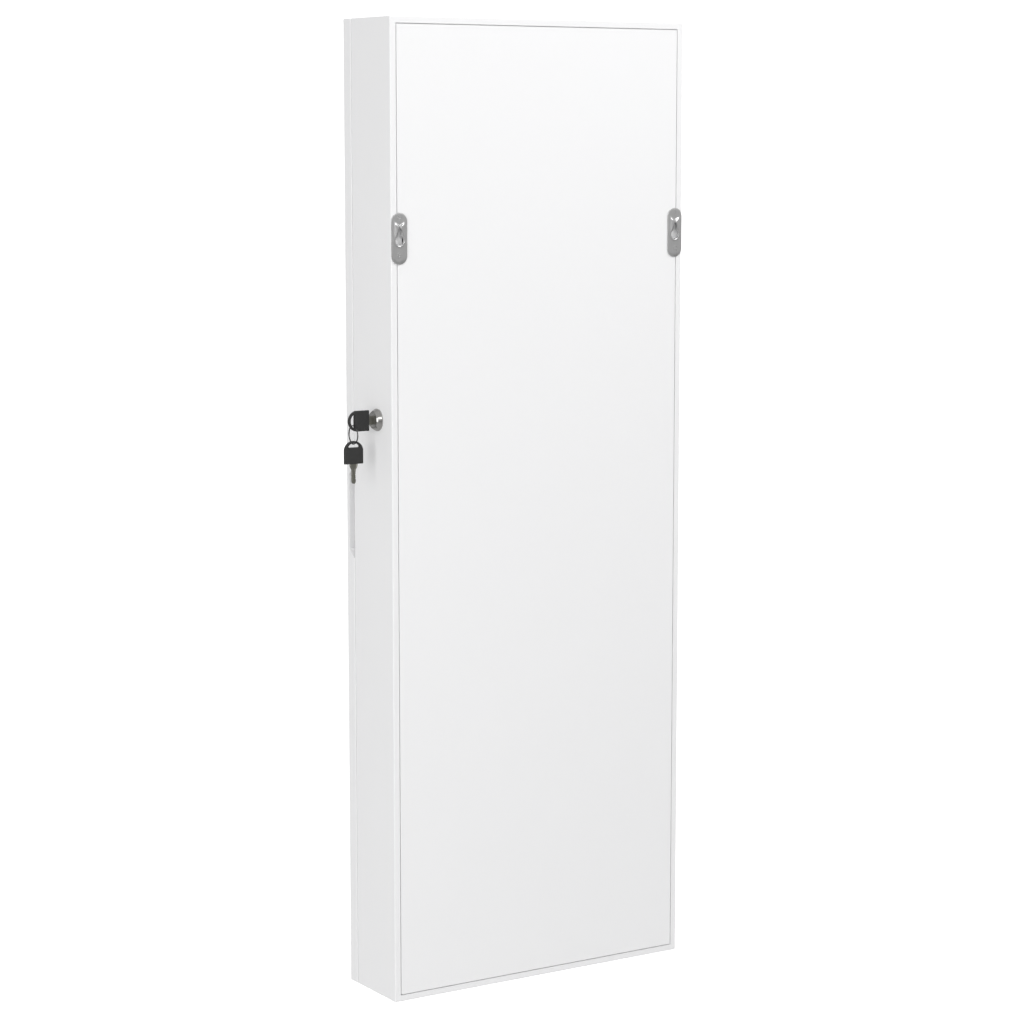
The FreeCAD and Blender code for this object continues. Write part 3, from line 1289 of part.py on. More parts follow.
def earring_panel():
    """A slotted panel on the door's inner side, held off its backing board by spacers."""
    panel = new_body(
        "earring_panel",
        "-Layout.fitting_width / 2",
        "Layout.panel_y",
        "Layout.bottom_z + Sizes.earring_panel_bottom",
    )
    size = ("Layout.fitting_width", "Sizes.earring_panel_thickness", "Layout.earring_panel_tall")
    block(panel, "Sheet", (0, 0, 0), size)
    sketch = new_sketch(panel, "SlotRow", "XZ_Plane")
    length = "Sizes.earring_slot_length"
    for column in range(EARRING_COLUMNS):
        x1 = f"Sizes.earring_side_margin + {column} * Layout.earring_column_pitch"
        x2 = f"{x1} + {length}"
        z1 = "(Layout.earring_row_pitch - Sizes.earring_slot_height) / 2"
        z2 = "(Layout.earring_row_pitch + Sizes.earring_slot_height) / 2"
        draw_outline(sketch, [(x1, z1), (x2, z1), (x2, z2), (x1, z2)])
    slots = pocket(panel, "Slots", sketch, "Sizes.earring_panel_thickness")
    rows = panel.newObject("PartDesign::LinearPattern", "SlotRows")
    rows.Originals = [slots]
    rows.Direction = (sketch, ["V_Axis"])
    rows.Occurrences = EARRING_ROWS
    bind(rows, Length=f"Layout.earring_row_pitch * {EARRING_ROWS - 1}")
    panel.Tip = rows


def earring_panel_spacers():
    """Four round spacers between the door's backing board and the earring panel."""
    spacers = []
    inset = "Sizes.spacer_inset"
    for side in ("-1", "1"):
        for z in (inset, f"Layout.earring_panel_tall - {inset}"):
            x = f"{side} * (Layout.fitting_width / 2 - {inset})"
            start = (x, "Layout.backing_y", f"Layout.bottom_z + Sizes.earring_panel_bottom + {z}")
            length = "Layout.panel_y - Layout.backing_y"
            spacers.append(plain_cylinder("y", start, "Sizes.spacer_diameter / 2", length))
    group("earring_panel_spacers", spacers)


def door_tray():
    """A small open box on the door's inner side."""
    tray = new_body(
        "door_tray",
        "-Layout.fitting_width / 2",
        "Layout.backing_y",
        "Layout.bottom_z + Sizes.tray_bottom",
    )
    width, deep, tall = "Layout.fitting_width", "Sizes.tray_deep", "Sizes.tray_tall"
    block(tray, "Outside", (0, 0, 0), (width, deep, tall))
    wall = "Sizes.tray_wall"
    size = (f"{width} - 2 * {wall}", f"{deep} - 2 * {wall}", f"{tall} - {wall}")
    block(tray, "Inside", (wall, wall, wall), size, cut=True)


def build():
    """Make every sub-part."""
    left_side_panel()
    right_side_panel()
    cross_panel("top_panel", "Layout.bottom_z + Sizes.cabinet_height - Sizes.board_thickness", "0")
    cross_panel("bottom_panel", "Layout.bottom_z", "Sizes.back_rim")
    carcass_dowels()
    back_panel()
    velvet_back_board()
    hanger_plate("left_hanger_plate", "-Layout.hanger_x")
    hanger_plate("right_hanger_plate", "Layout.hanger_x")
    hanger_screws()
    door_frame()
    rebated_sheet("mirror_glass", "Sizes.frame_lip", "Sizes.glass_thickness")
    rebated_sheet("door_backing_board", "Sizes.frame_lip + Sizes.glass_thickness", "Sizes.backing_thickness")
    for name, bottom in hinge_centres().items():
        hinge_leaf(f"{name}_hinge_carcass_leaf", bottom, 1)
        hinge_leaf(f"{name}_hinge_door_leaf", bottom, -1)
    hinge_pins()
    hinge_screws()
    lock_housing()
    lock_nut()
    lock_plug()
    lock_cam()
    cam_screw()
    striker_bracket()
    striker_screws()
    lock_key = ("Layout.key_x", "Layout.lock_y", "Layout.lock_z")
    spare_key = ("Layout.ring_x", "Layout.lock_y", "Layout.spare_z")
    key_head("lock_key_head", lock_key, False)
    key_blade("lock_key_blade", lock_key, False)
    key_head("spare_key_head", spare_key, True)
    key_blade("spare_key_blade", spare_key, True)
    key_ring()
    magnet_catches()
    strike_plates()
    door_bumpers()
    necklace_rail()
    necklace_hooks()
    ring_tray()
    ring_rolls()
    bracelet_rod()
    rod_cups()
    shelf("lower", "Sizes.lower_shelf_height")
    shelf("upper", "Sizes.upper_shelf_height")
    shelf_pegs()
    earring_panel()
    earring_panel_spacers()
    door_tray()


def check():
    """Stop when any object failed or a sub-part's shape is empty or not valid."""
    failed = [made.Name for made in doc.Objects if {"Invalid", "Error"} & set(made.State)]
    failed += [made.Label for made in parts if made.Shape.isNull() or not made.Shape.isValid()]
    if failed:
        raise RuntimeError("failed: " + ", ".join(failed))


def export():
    """Write each sub-part's shape to a file with its name."""
    os.makedirs("parts", exist_ok=True)
    for made in parts:
        made.Shape.exportStep(f"parts/{made.Label}.step")


build()
doc.recompute()
check()
export()
print(len(parts), "sub-parts")
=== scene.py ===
import logging
import math
from dataclasses import dataclass, field
from enum import Enum
from typing import Callable, Iterable, Sequence

import bmesh
import bpy
from mathutils import Euler, Matrix, Vector, noise


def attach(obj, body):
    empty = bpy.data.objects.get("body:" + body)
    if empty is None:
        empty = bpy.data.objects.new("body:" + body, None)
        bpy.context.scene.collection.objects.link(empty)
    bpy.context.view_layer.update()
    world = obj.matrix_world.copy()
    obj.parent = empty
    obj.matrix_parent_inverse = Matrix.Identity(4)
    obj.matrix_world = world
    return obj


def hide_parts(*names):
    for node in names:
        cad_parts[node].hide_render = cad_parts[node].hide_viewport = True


# The looks of a wall-hung jewelry cabinet, in metres. +Z is up, the mirror faces -Y and the lock side is +X.

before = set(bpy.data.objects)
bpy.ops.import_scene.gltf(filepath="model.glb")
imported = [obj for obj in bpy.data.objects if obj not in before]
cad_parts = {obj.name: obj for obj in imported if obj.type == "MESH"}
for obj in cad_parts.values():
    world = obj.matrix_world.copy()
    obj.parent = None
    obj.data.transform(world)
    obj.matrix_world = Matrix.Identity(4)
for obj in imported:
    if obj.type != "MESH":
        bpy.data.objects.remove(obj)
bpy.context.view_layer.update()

log = logging.getLogger("jewelry_cabinet")

Colour = tuple[float, float, float]
Point = tuple[float, float, float]
Socket = bpy.types.NodeSocket
Values = dict[str | int, object]
Sizes = dict[str, float | int | Point]
MM = 0.001


class Body(str, Enum):
    """The bodies that pieces ride on."""

    CABINET = "cabinet"
    DOOR = "mirror_door"
    PLUG = "plug_and_cam"
    KEY = "key"
    RING = "ring"
    SPARE_KEY = "spare_key"


class Brush(Enum):
    """The direction of the fine lines on brushed metal, as the pattern's squeeze along x, y and z."""

    ALONG_X = (0.04, 1.0, 1.0)
    ALONG_Z = (1.0, 1.0, 0.04)
    NONE = (1.0, 1.0, 1.0)


class Facing(Enum):
    """Where a screw points, as the turn that lays +z along it."""

    TO_FRONT = (math.pi / 2, 0.0, 0.0)
    TO_REAR = (-math.pi / 2, 0.0, 0.0)
    TO_LOCK_SIDE = (0.0, math.pi / 2, 0.0)


# Node trees


class Graph:
    """A node tree that is filled by short calls."""

    def __init__(self, tree: bpy.types.NodeTree) -> None:
        """Keep the tree.

        Args:
            tree: The shader or geometry tree to fill.
        """
        self.tree = tree

    def put(self, kind: str, inputs: Values | None = None, **settings: object) -> bpy.types.Node:
        """Add a node, with its settings and inputs.

        Args:
            kind: The node's type name.
            inputs: Values or sockets by input name or number.
            settings: The node's own properties.

        Returns:
            The new node.
        """
        node = self.tree.nodes.new(kind)
        for name, setting in settings.items():
            setattr(node, name, setting)
        for key, value in (inputs or {}).items():
            if isinstance(value, Socket):
                self.tree.links.new(value, node.inputs[key])
            else:
                node.inputs[key].default_value = value
        return node

    def math(self, operation: str, first: object, second: object = 0.0, clamp: bool = False) -> Socket:
        """A Math node's result.

        Args:
            operation: The name of the operation.
            first: The first value or socket.
            second: The second value or socket.
            clamp: Whether the result stays between 0 and 1.

        Returns:
            The node's output socket.
        """
        node = self.put("ShaderNodeMath", {0: first, 1: second}, operation=operation, use_clamp=clamp)
        return node.outputs[0]

    def place(self) -> Socket:
        """The shaded point, in the piece's own coordinates."""
        return self.put("ShaderNodeTexCoord").outputs["Object"]

    def tint(self, factor: object, first: object, second: object) -> Socket:
        """Two colours mixed by a factor.

        Args:
            factor: How much of the second colour shows, from 0 to 1.
            first: The first colour or socket.
            second: The second colour or socket.

        Returns:
            The mixed colour's socket.
        """
        values = [(*c, 1.0) if isinstance(c, tuple) and len(c) == 3 else c for c in (first, second)]
        node = self.put("ShaderNodeMix", {0: factor, 6: values[0], 7: values[1]}, data_type="RGBA")
        return node.outputs[2]

    def effect(self, group: bpy.types.NodeTree, **inputs: object) -> bpy.types.Node:
        """Place a shared effect, with this material's own values.

        Args:
            group: The shader node group.
            inputs: Values or sockets by the group's input names, with _ for a space.

        Returns:
            The group's node.
        """
        node = self.tree.nodes.new("ShaderNodeGroup")
        node.node_tree = group
        for name, value in inputs.items():
            socket = node.inputs[name.replace("_", " ")]
            if isinstance(value, Socket):
                self.tree.links.new(value, socket)
            else:
                socket.default_value = value
        return node


def new_effect(
    name: str, inputs: Sizes, outputs: Sequence[str]
) -> tuple[Graph, dict[str, Socket], Callable[..., bpy.types.NodeTree]]:
    """Start a shader node group.

    Args:
        name: The group's name.
        inputs: Defaults by input name. A number makes a float socket, and a triple a vector socket.
        outputs: The names of the float outputs.

    Returns:
        The graph, the input sockets by name, and a function that joins sockets to the outputs.
    """
    group = bpy.data.node_groups.new(name, "ShaderNodeTree")
    for key, default in inputs.items():
        kind = "NodeSocketVector" if isinstance(default, tuple) else "NodeSocketFloat"
        group.interface.new_socket(key, in_out="INPUT", socket_type=kind).default_value = default
    for key in outputs:
        group.interface.new_socket(key, in_out="OUTPUT", socket_type="NodeSocketFloat")
    graph = Graph(group)
    start = graph.put("NodeGroupInput")
    end = graph.put("NodeGroupOutput")

    def finish(**results: Socket) -> bpy.types.NodeTree:
        """Join sockets to the group's outputs.

        Args:
            results: Sockets by output name, with _ for a space.

        Returns:
            The group.
        """
        for key, socket in results.items():
            group.links.new(socket, end.inputs[key.replace("_", " ")])
        return group

    return graph, {key: start.outputs[key] for key in inputs}, finish


def noise_at(graph: Graph, place: Socket, scale: object, detail: float, roughness: float = 0.5) -> Socket:
    """A smooth noise of a place.

    Args:
        graph: The graph to add to.
        place: The coordinates.
        scale: The noise's scale, or a socket.
        detail: How many octaves it has.
        roughness: How strong the finer octaves are.

    Returns:
        The noise's value, about 0.5.
    """
    inputs = {"Vector": place, "Scale": scale, "Detail": detail, "Roughness": roughness}
    return graph.put("ShaderNodeTexNoise", inputs).outputs["Fac"]


class Effects:
    """The effects that several finishes share, each built once."""

    def __init__(self) -> None:
        """Build every group."""
        self.grain = self.build_grain()
        self.brushed = self.build_brushed()
        self.handling = self.build_handling()
        self.edge_wear = self.build_edge_wear()
        self.nap = self.build_nap()

    def build_grain(self) -> bpy.types.NodeTree:
        """An even fine texture, such as the peel of a sprayed lacquer or the frost of a moulding.

        Returns:
            The group. Height feeds a bump, and Tone varies a colour.
        """
        graph, given, finish = new_effect("fine_grain", {"Scale": 400.0, "Cloud": 6.0}, ["Height", "Tone"])
        place = graph.place()
        fine = noise_at(graph, place, given["Scale"], 2.0)
        broad = noise_at(graph, place, given["Cloud"], 3.0)
        return finish(Height=fine, Tone=graph.math("MULTIPLY", fine, broad))

    def build_brushed(self) -> bpy.types.NodeTree:
        """Fine parallel lines, as rolling and polishing leave on metal.

        Returns:
            The group. Height feeds a bump, and Tone varies roughness and colour.
        """
        sizes: Sizes = {"Scale": 900.0, "Squeeze": (1.0, 1.0, 1.0)}
        graph, given, finish = new_effect("brushed_lines", sizes, ["Height", "Tone"])
        place = graph.place()
        squeezed = graph.put("ShaderNodeMapping", {"Vector": place, "Scale": given["Squeeze"]}).outputs[0]
        lines = noise_at(graph, squeezed, given["Scale"], 4.0, 0.6)
        return finish(Height=lines, Tone=graph.math("POWER", lines, 2.0))

    def build_handling(self) -> bpy.types.NodeTree:
        """Faint smudges of handling, and dust that settles on faces that look up.

        Returns:
            The group. Smudge varies roughness, and Dust whitens a colour.
        """
        sizes: Sizes = {"Scale": 14.0, "Smudge": 0.1, "Dust": 0.2}
        graph, given, finish = new_effect("handling", sizes, ["Smudge", "Dust"])
        place = graph.place()
        cloud = noise_at(graph, place, given["Scale"], 5.0, 0.65)
        patch = graph.math("SUBTRACT", cloud, 0.45, clamp=True)
        smudge = graph.math("MULTIPLY", patch, graph.math("MULTIPLY", given["Smudge"], 4.0))
        normal = graph.put("ShaderNodeNewGeometry").outputs["Normal"]
        up = graph.put("ShaderNodeSeparateXYZ", {0: normal}).outputs["Z"]
        specks = noise_at(graph, place, 260.0, 3.0, 0.7)
        lying = graph.math("MULTIPLY", graph.math("MAXIMUM", up, 0.0), specks)
        return finish(Smudge=smudge, Dust=graph.math("MULTIPLY", lying, given["Dust"]))

    def build_edge_wear(self) -> bpy.types.NodeTree:
        """Where edges are rubbed, broken up by noise.

        Returns:
            The group. Mask is 1 on a worn edge.
        """
        graph, given, finish = new_effect("edge_wear", {"Radius": 0.001, "Amount": 1.0}, ["Mask"])
        soft = graph.put("ShaderNodeBevel", {"Radius": given["Radius"]}, samples=4).outputs[0]
        sharp = graph.put("ShaderNodeNewGeometry").outputs["Normal"]
        meeting = graph.put("ShaderNodeVectorMath", {0: soft, 1: sharp}, operation="DOT_PRODUCT")
        bend = graph.math("SUBTRACT", 1.0, meeting.outputs["Value"], clamp=True)
        place = graph.place()
        broken = graph.math("MULTIPLY", noise_at(graph, place, 90.0, 5.0, 0.7), 4.0)
        worn = graph.math("MULTIPLY", graph.math("MULTIPLY", bend, broken), given["Amount"], clamp=True)
        return finish(Mask=worn)

    def build_nap(self) -> bpy.types.NodeTree:
        """The pile of velvet: fine fibres, and broad patches brushed one way or the other.

        Returns:
            The group. Height feeds a bump, and Patch varies the colour.
        """
        graph, given, finish = new_effect("velvet_nap", {"Fibre": 1800.0, "Patch": 18.0}, ["Height", "Patch"])
        place = graph.place()
        fibre = noise_at(graph, place, given["Fibre"], 2.0, 0.7)
        patch = noise_at(graph, place, given["Patch"], 4.0, 0.6)
        mixed = graph.math("ADD", graph.math("MULTIPLY", patch, 0.7), graph.math("MULTIPLY", fibre, 0.3))
        return finish(Height=fibre, Patch=mixed)


effects = Effects()


# Finishes


@dataclass(frozen=True)
class Finish:
    """What every finish has: its name, a colour, a roughness, and the record's slot if it isn't its name."""

    name: str
    colour: Colour
    roughness: float
    stands_for: str = field(default="", kw_only=True)

    @property
    def slot(self) -> str:
        """The record's slot that the finish stands for."""
        return self.stands_for or self.name

    def material(self) -> bpy.types.Material:
        """The finish's material, built the first time that it is asked for.

        Returns:
            The material.
        """
        made = bpy.data.materials.get(self.name + "_finish")
        if made is None:
            made = bpy.data.materials.new(self.name + "_finish")
            made.use_nodes = True
            made.node_tree.nodes.clear()
            graph = Graph(made.node_tree)
            shader = graph.put("ShaderNodeBsdfPrincipled", self.surface(graph))
            graph.put("ShaderNodeOutputMaterial", {"Surface": shader.outputs[0]})
        return made

    def surface(self, graph: Graph) -> Values:
        """Build what feeds the finish's shader.

        Args:
            graph: The material's graph.

        Returns:
            Values and sockets by the shader's input names.
        """
        raise NotImplementedError

    def bump(self, graph: Graph, height: Socket, depth: float, strength: float, edge: float = 0.0) -> Socket:
        """A bump, over edges that are a little rounded.

        Args:
            graph: The material's graph.
            height: The bump's height, from 0 to 1.
            depth: How deep the bump is, in metres.
            strength: How strong it is, from 0 to 1.
            edge: How far the edges are rounded, in metres, or 0.

        Returns:
            The normal's socket.
        """
        inputs: Values = {"Height": height, "Distance": depth, "Strength": strength}
        if edge:
            inputs["Normal"] = graph.put("ShaderNodeBevel", {"Radius": edge}, samples=4).outputs[0]
        return graph.put("ShaderNodeBump", inputs).outputs[0]


@dataclass(frozen=True)
class Lacquer(Finish):
    """Sprayed or rolled white paint on board, with a faint peel and hardly any wear."""

    shaded: Colour
    peel: float
    coat: float
    coat_roughness: float = 0.25
    peel_depth: float = 0.00004

    def surface(self, graph: Graph) -> Values:
        """Build what feeds the lacquer's shader.

        Args:
            graph: The material's graph.

        Returns:
            Values and sockets by the shader's input names.
        """
        grain = graph.effect(effects.grain, Scale=self.peel, Cloud=5.0)
        marks = graph.effect(effects.handling, Scale=9.0, Smudge=0.12, Dust=0.0)
        shading = graph.math("MULTIPLY", grain.outputs["Tone"], 0.5)
        return {
            "Base Color": graph.tint(shading, self.colour, self.shaded),
            "Roughness": graph.math("ADD", self.roughness, marks.outputs["Smudge"]),
            "Coat Weight": self.coat,
            "Coat Roughness": self.coat_roughness,
            "Normal": self.bump(graph, grain.outputs["Height"], self.peel_depth, 0.35),
        }


@dataclass(frozen=True)
class Metal(Finish):
    """Bare or plated metal, with rolling lines, smudges and rubbed edges."""

    worn: Colour
    lines: float
    brush: Brush = Brush.NONE
    edge: float = 0.0003
    line_depth: float = 0.00002

    def surface(self, graph: Graph) -> Values:
        """Build what feeds the metal's shader.

        Args:
            graph: The material's graph.

        Returns:
            Values and sockets by the shader's input names.
        """
        brushed = graph.effect(effects.brushed, Scale=self.lines, Squeeze=self.brush.value)
        marks = graph.effect(effects.handling, Scale=120.0, Smudge=0.18, Dust=0.0)
        wear = graph.effect(effects.edge_wear, Radius=self.edge * 2, Amount=1.0)
        tone = graph.tint(graph.math("MULTIPLY", brushed.outputs["Tone"], 0.4), self.colour, self.worn)
        rough = graph.math("ADD", self.roughness, graph.math("MULTIPLY", marks.outputs["Smudge"], 0.5))
        rough = graph.math("ADD", rough, graph.math("MULTIPLY", brushed.outputs["Tone"], 0.12))
        return {
            "Base Color": graph.tint(wear.outputs["Mask"], tone, self.worn),
            "Metallic": 1.0,
            "Roughness": rough,
            "Normal": self.bump(graph, brushed.outputs["Height"], self.line_depth, 0.3, self.edge),
        }


@dataclass(frozen=True)
class Moulding(Finish):
    """Moulded plastic or rubber, with an even frost."""

    rubbed: Colour
    frost: float
    depth: float = 0.00003
    edge: float = 0.0003
    gloss: float = 0.5

    def surface(self, graph: Graph) -> Values:
        """Build what feeds the moulding's shader.

        Args:
            graph: The material's graph.

        Returns:
            Values and sockets by the shader's input names.
        """
        grain = graph.effect(effects.grain, Scale=self.frost, Cloud=60.0)
        marks = graph.effect(effects.handling, Scale=70.0, Smudge=0.2, Dust=0.05)
        wear = graph.effect(effects.edge_wear, Radius=self.edge * 2, Amount=0.6)
        tone = graph.tint(graph.math("MULTIPLY", grain.outputs["Tone"], 0.6), self.colour, self.rubbed)
        return {
            "Base Color": graph.tint(wear.outputs["Mask"], tone, self.rubbed),
            "Roughness": graph.math("ADD", self.roughness, marks.outputs["Smudge"]),
            "Specular IOR Level": self.gloss,
            "Normal": self.bump(graph, grain.outputs["Height"], self.depth, 0.5, self.edge),
        }


@dataclass(frozen=True)
class Velvet(Finish):
    """Black velvet with a soft sheen and a brushed nap."""

    lifted: Colour
    lint: Colour = (0.4, 0.4, 0.4)
    sheen: float = 0.45
    pile: float = 0.0004

    def surface(self, graph: Graph) -> Values:
        """Build what feeds the velvet's shader.

        Args:
            graph: The material's graph.

        Returns:
            Values and sockets by the shader's input names.
        """
        nap = graph.effect(effects.nap, Fibre=1500.0, Patch=16.0)
        dust = graph.effect(effects.handling, Scale=20.0, Smudge=0.1, Dust=0.05)
        colour = graph.tint(nap.outputs["Patch"], self.colour, self.lifted)
        return {
            "Base Color": graph.tint(dust.outputs["Dust"], colour, self.lint),
            "Roughness": self.roughness,
            "Sheen Weight": self.sheen,
            "Sheen Roughness": 0.4,
            "Normal": self.bump(graph, nap.outputs["Height"], self.pile, 0.6),
        }


@dataclass(frozen=True)
class ClearSheet(Finish):
    """Clear acrylic, faintly scratched."""

    refraction: float = 1.49

    def surface(self, graph: Graph) -> Values:
        """Build what feeds the acrylic's shader.

        Args:
            graph: The material's graph.

        Returns:
            Values and sockets by the shader's input names.
        """
        scratches = graph.effect(effects.brushed, Scale=500.0, Squeeze=Brush.ALONG_X.value)
        marks = graph.effect(effects.handling, Scale=30.0, Smudge=0.08, Dust=0.0)
        hazed = graph.math("ADD", graph.math("MULTIPLY", scratches.outputs["Tone"], 0.05), self.roughness)
        return {
            "Base Color": (*self.colour, 1.0),
            "Roughness": graph.math("ADD", hazed, marks.outputs["Smudge"]),
            "Transmission Weight": 1.0,
            "IOR": self.refraction,
        }


@dataclass(frozen=True)
class MirrorGlass(Finish):
    """Silvered glass, with a trace of dust and wiping marks."""

    wiped: Colour = (0.96, 0.97, 0.97)

    def surface(self, graph: Graph) -> Values:
        """Build what feeds the mirror's shader.

        Args:
            graph: The material's graph.

        Returns:
            Values and sockets by the shader's input names.
        """
        strokes = graph.effect(effects.brushed, Scale=30.0, Squeeze=Brush.ALONG_X.value)
        marks = graph.effect(effects.handling, Scale=7.0, Smudge=0.03, Dust=0.0)
        hazed = graph.math("MULTIPLY", strokes.outputs["Tone"], 0.04)
        return {
            "Base Color": graph.tint(hazed, self.colour, self.wiped),
            "Metallic": 1.0,
            "Roughness": graph.math("ADD", graph.math("ADD", hazed, self.roughness), marks.outputs["Smudge"]),
        }


@dataclass(frozen=True)
class Timber(Finish):
    """Plain turned wood with long rings and pores."""

    late: Colour
    ring_scale: float = 90.0
    pore_depth: float = 0.0001

    def surface(self, graph: Graph) -> Values:
        """Build what feeds the timber's shader.

        Args:
            graph: The material's graph.

        Returns:
            Values and sockets by the shader's input names.
        """
        pores = graph.effect(effects.brushed, Scale=700.0, Squeeze=Brush.ALONG_X.value)
        place = graph.place()
        wave = {"Vector": place, "Scale": self.ring_scale, "Distortion": 3.0}
        rings = graph.put("ShaderNodeTexWave", wave, bands_direction="Z")
        colour = graph.tint(rings.outputs["Fac"], self.colour, self.late)
        rise = graph.math("MULTIPLY", pores.outputs["Tone"], 0.2)
        return {
            "Base Color": graph.tint(graph.math("MULTIPLY", pores.outputs["Tone"], 0.6), colour, self.late),
            "Roughness": graph.math("ADD", self.roughness, rise),
            "Normal": self.bump(graph, pores.outputs["Height"], self.pore_depth, 0.4),
        }


WHITE_LACQUER = Lacquer(
    "white_lacquer", (0.87, 0.87, 0.875), 0.42, shaded=(0.84, 0.84, 0.845), peel=420.0, coat=0.15
)
WHITE_BACK = Lacquer(
    "white_back", (0.885, 0.885, 0.89), 0.38, shaded=(0.85, 0.85, 0.855), peel=260.0, coat=0.1
)
SATIN_STEEL = Metal(
    "satin_steel", (0.54, 0.54, 0.54), 0.26, (0.66, 0.66, 0.66), lines=900.0, brush=Brush.ALONG_Z
)
ZINC_STEEL = Metal("zinc_steel", (0.55, 0.56, 0.57), 0.34, (0.7, 0.7, 0.7), lines=700.0, brush=Brush.ALONG_Z)
ZINC_SCREW = Metal("zinc_screw", (0.52, 0.52, 0.52), 0.3, (0.68, 0.68, 0.68), lines=1400.0)
NICKEL = Metal("nickel", (0.66, 0.65, 0.63), 0.14, (0.8, 0.79, 0.77), lines=1600.0)
# A darker copy of the nickel for the lock's housing: painted shade, standing in for the dark reflections on
# the bezel.
LOCK_NICKEL_PAINTED_SHADE = Metal(
    "lock_nickel", (0.34, 0.335, 0.325), 0.12, (0.5, 0.49, 0.48), lines=1600.0, stands_for="nickel"
)
DARK_NICKEL = Metal("dark_nickel", (0.5, 0.495, 0.48), 0.24, (0.62, 0.61, 0.6), lines=1600.0)
KEY_METAL = Metal(
    "key_metal", (0.185, 0.183, 0.16), 0.3, (0.3, 0.295, 0.265), lines=1500.0, brush=Brush.ALONG_Z
)
RING_WIRE = Metal(
    "ring_wire", (0.1, 0.1, 0.1), 0.26, (0.22, 0.22, 0.22), lines=1500.0, edge=0.0001, stands_for="key_metal"
)
BLACK_PLASTIC = Moulding(
    "black_plastic", (0.023, 0.023, 0.0225), 0.55, (0.04, 0.04, 0.04), frost=2400.0, gloss=0.36
)
WHITE_PLASTIC = Moulding("white_plastic", (0.83, 0.83, 0.83), 0.38, (0.88, 0.88, 0.88), frost=900.0)
RUBBER = Moulding("rubber", (0.6, 0.6, 0.59), 0.6, (0.68, 0.68, 0.67), frost=1500.0)
MAGNET = Moulding("magnet", (0.08, 0.08, 0.085), 0.62, (0.16, 0.16, 0.16), frost=1100.0, depth=0.00008)
VELVET_BOARD = Velvet("velvet_board", (0.012, 0.011, 0.013), 0.9, (0.045, 0.042, 0.046))
VELVET_FOAM = Velvet("velvet_foam", (0.014, 0.013, 0.015), 0.9, (0.055, 0.051, 0.056))
CLEAR_ACRYLIC = ClearSheet("clear_acrylic", (0.97, 0.985, 0.985), 0.02)
MIRROR = MirrorGlass("mirror", (0.9, 0.915, 0.915), 0.008)
BEECH = Timber("beech", (0.62, 0.44, 0.26), 0.55, (0.46, 0.3, 0.16))


# Pieces


def dress(finish: Finish, nodes: Iterable[str]) -> None:
    """Give CAD nodes a finish.

    Args:
        finish: The finish to use.
        nodes: The nodes' names.
    """
    for name in nodes:
        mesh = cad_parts[name].data
        mesh.materials.clear()
        mesh.materials.append(finish.material())
        log.info("dressed %s in %s", name, finish.name)


def new_piece(name: str, mesh: bpy.types.Mesh) -> bpy.types.Object:
    """Link a mesh as an object at the origin.

    Args:
        name: The piece's name.
        mesh: Its mesh, with its place in it.

    Returns:
        The new object.
    """
    mesh.name = name
    piece = bpy.data.objects.new(name, mesh)
    bpy.context.scene.collection.objects.link(piece)
    return piece


def place_piece(piece: bpy.types.Object, body: Body, finish: Finish, *nodes: str) -> bpy.types.Object:
    """Finish a piece, and let it ride on its body and stand for CAD nodes.

    Args:
        piece: The piece, at the origin.
        body: The body that it rides on.
        finish: Its finish.
        nodes: The CAD nodes that it replaces.

    Returns:
        The piece.
    """
    if not piece.data.materials:
        piece.data.materials.append(finish.material())
    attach(piece, body.value)
    finish.slot
    if nodes:
        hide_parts(*nodes)
    log.info("built %s on %s, %d faces", piece.name, body.value, len(piece.data.polygons))
    return piece


def smooth_by_angle(mesh: bpy.types.Mesh, degrees: float = 35.0) -> None:
    """Shade a mesh smooth, except over edges sharper than an angle."""
    mesh.shade_smooth()
    mesh.set_sharp_from_angle(angle=math.radians(degrees))


def bridge(shape: bmesh.types.BMesh, loops: Sequence[Sequence[bmesh.types.BMVert]]) -> None:
    """Put faces between each ring of points and the next.

    Args:
        shape: The shape that the points are in.
        loops: The rings in order, each of the same number of points.
    """
    for first, second in zip(loops, loops[1:]):
        for step in range(len(first)):
            after = (step + 1) % len(first)
            shape.faces.new((first[step], first[after], second[after], second[step]))


def shape_piece(name: str, shape: bmesh.types.BMesh) -> bpy.types.Object:
    """Turn a closed shape's faces outwards and make it a piece.

    Args:
        name: The piece's name.
        shape: The shape, which is used up.

    Returns:
        The new object.
    """
    bmesh.ops.recalc_face_normals(shape, faces=shape.faces[:])
    mesh = bpy.data.meshes.new(name)
    shape.to_mesh(mesh)
    shape.free()
    return new_piece(name, mesh)


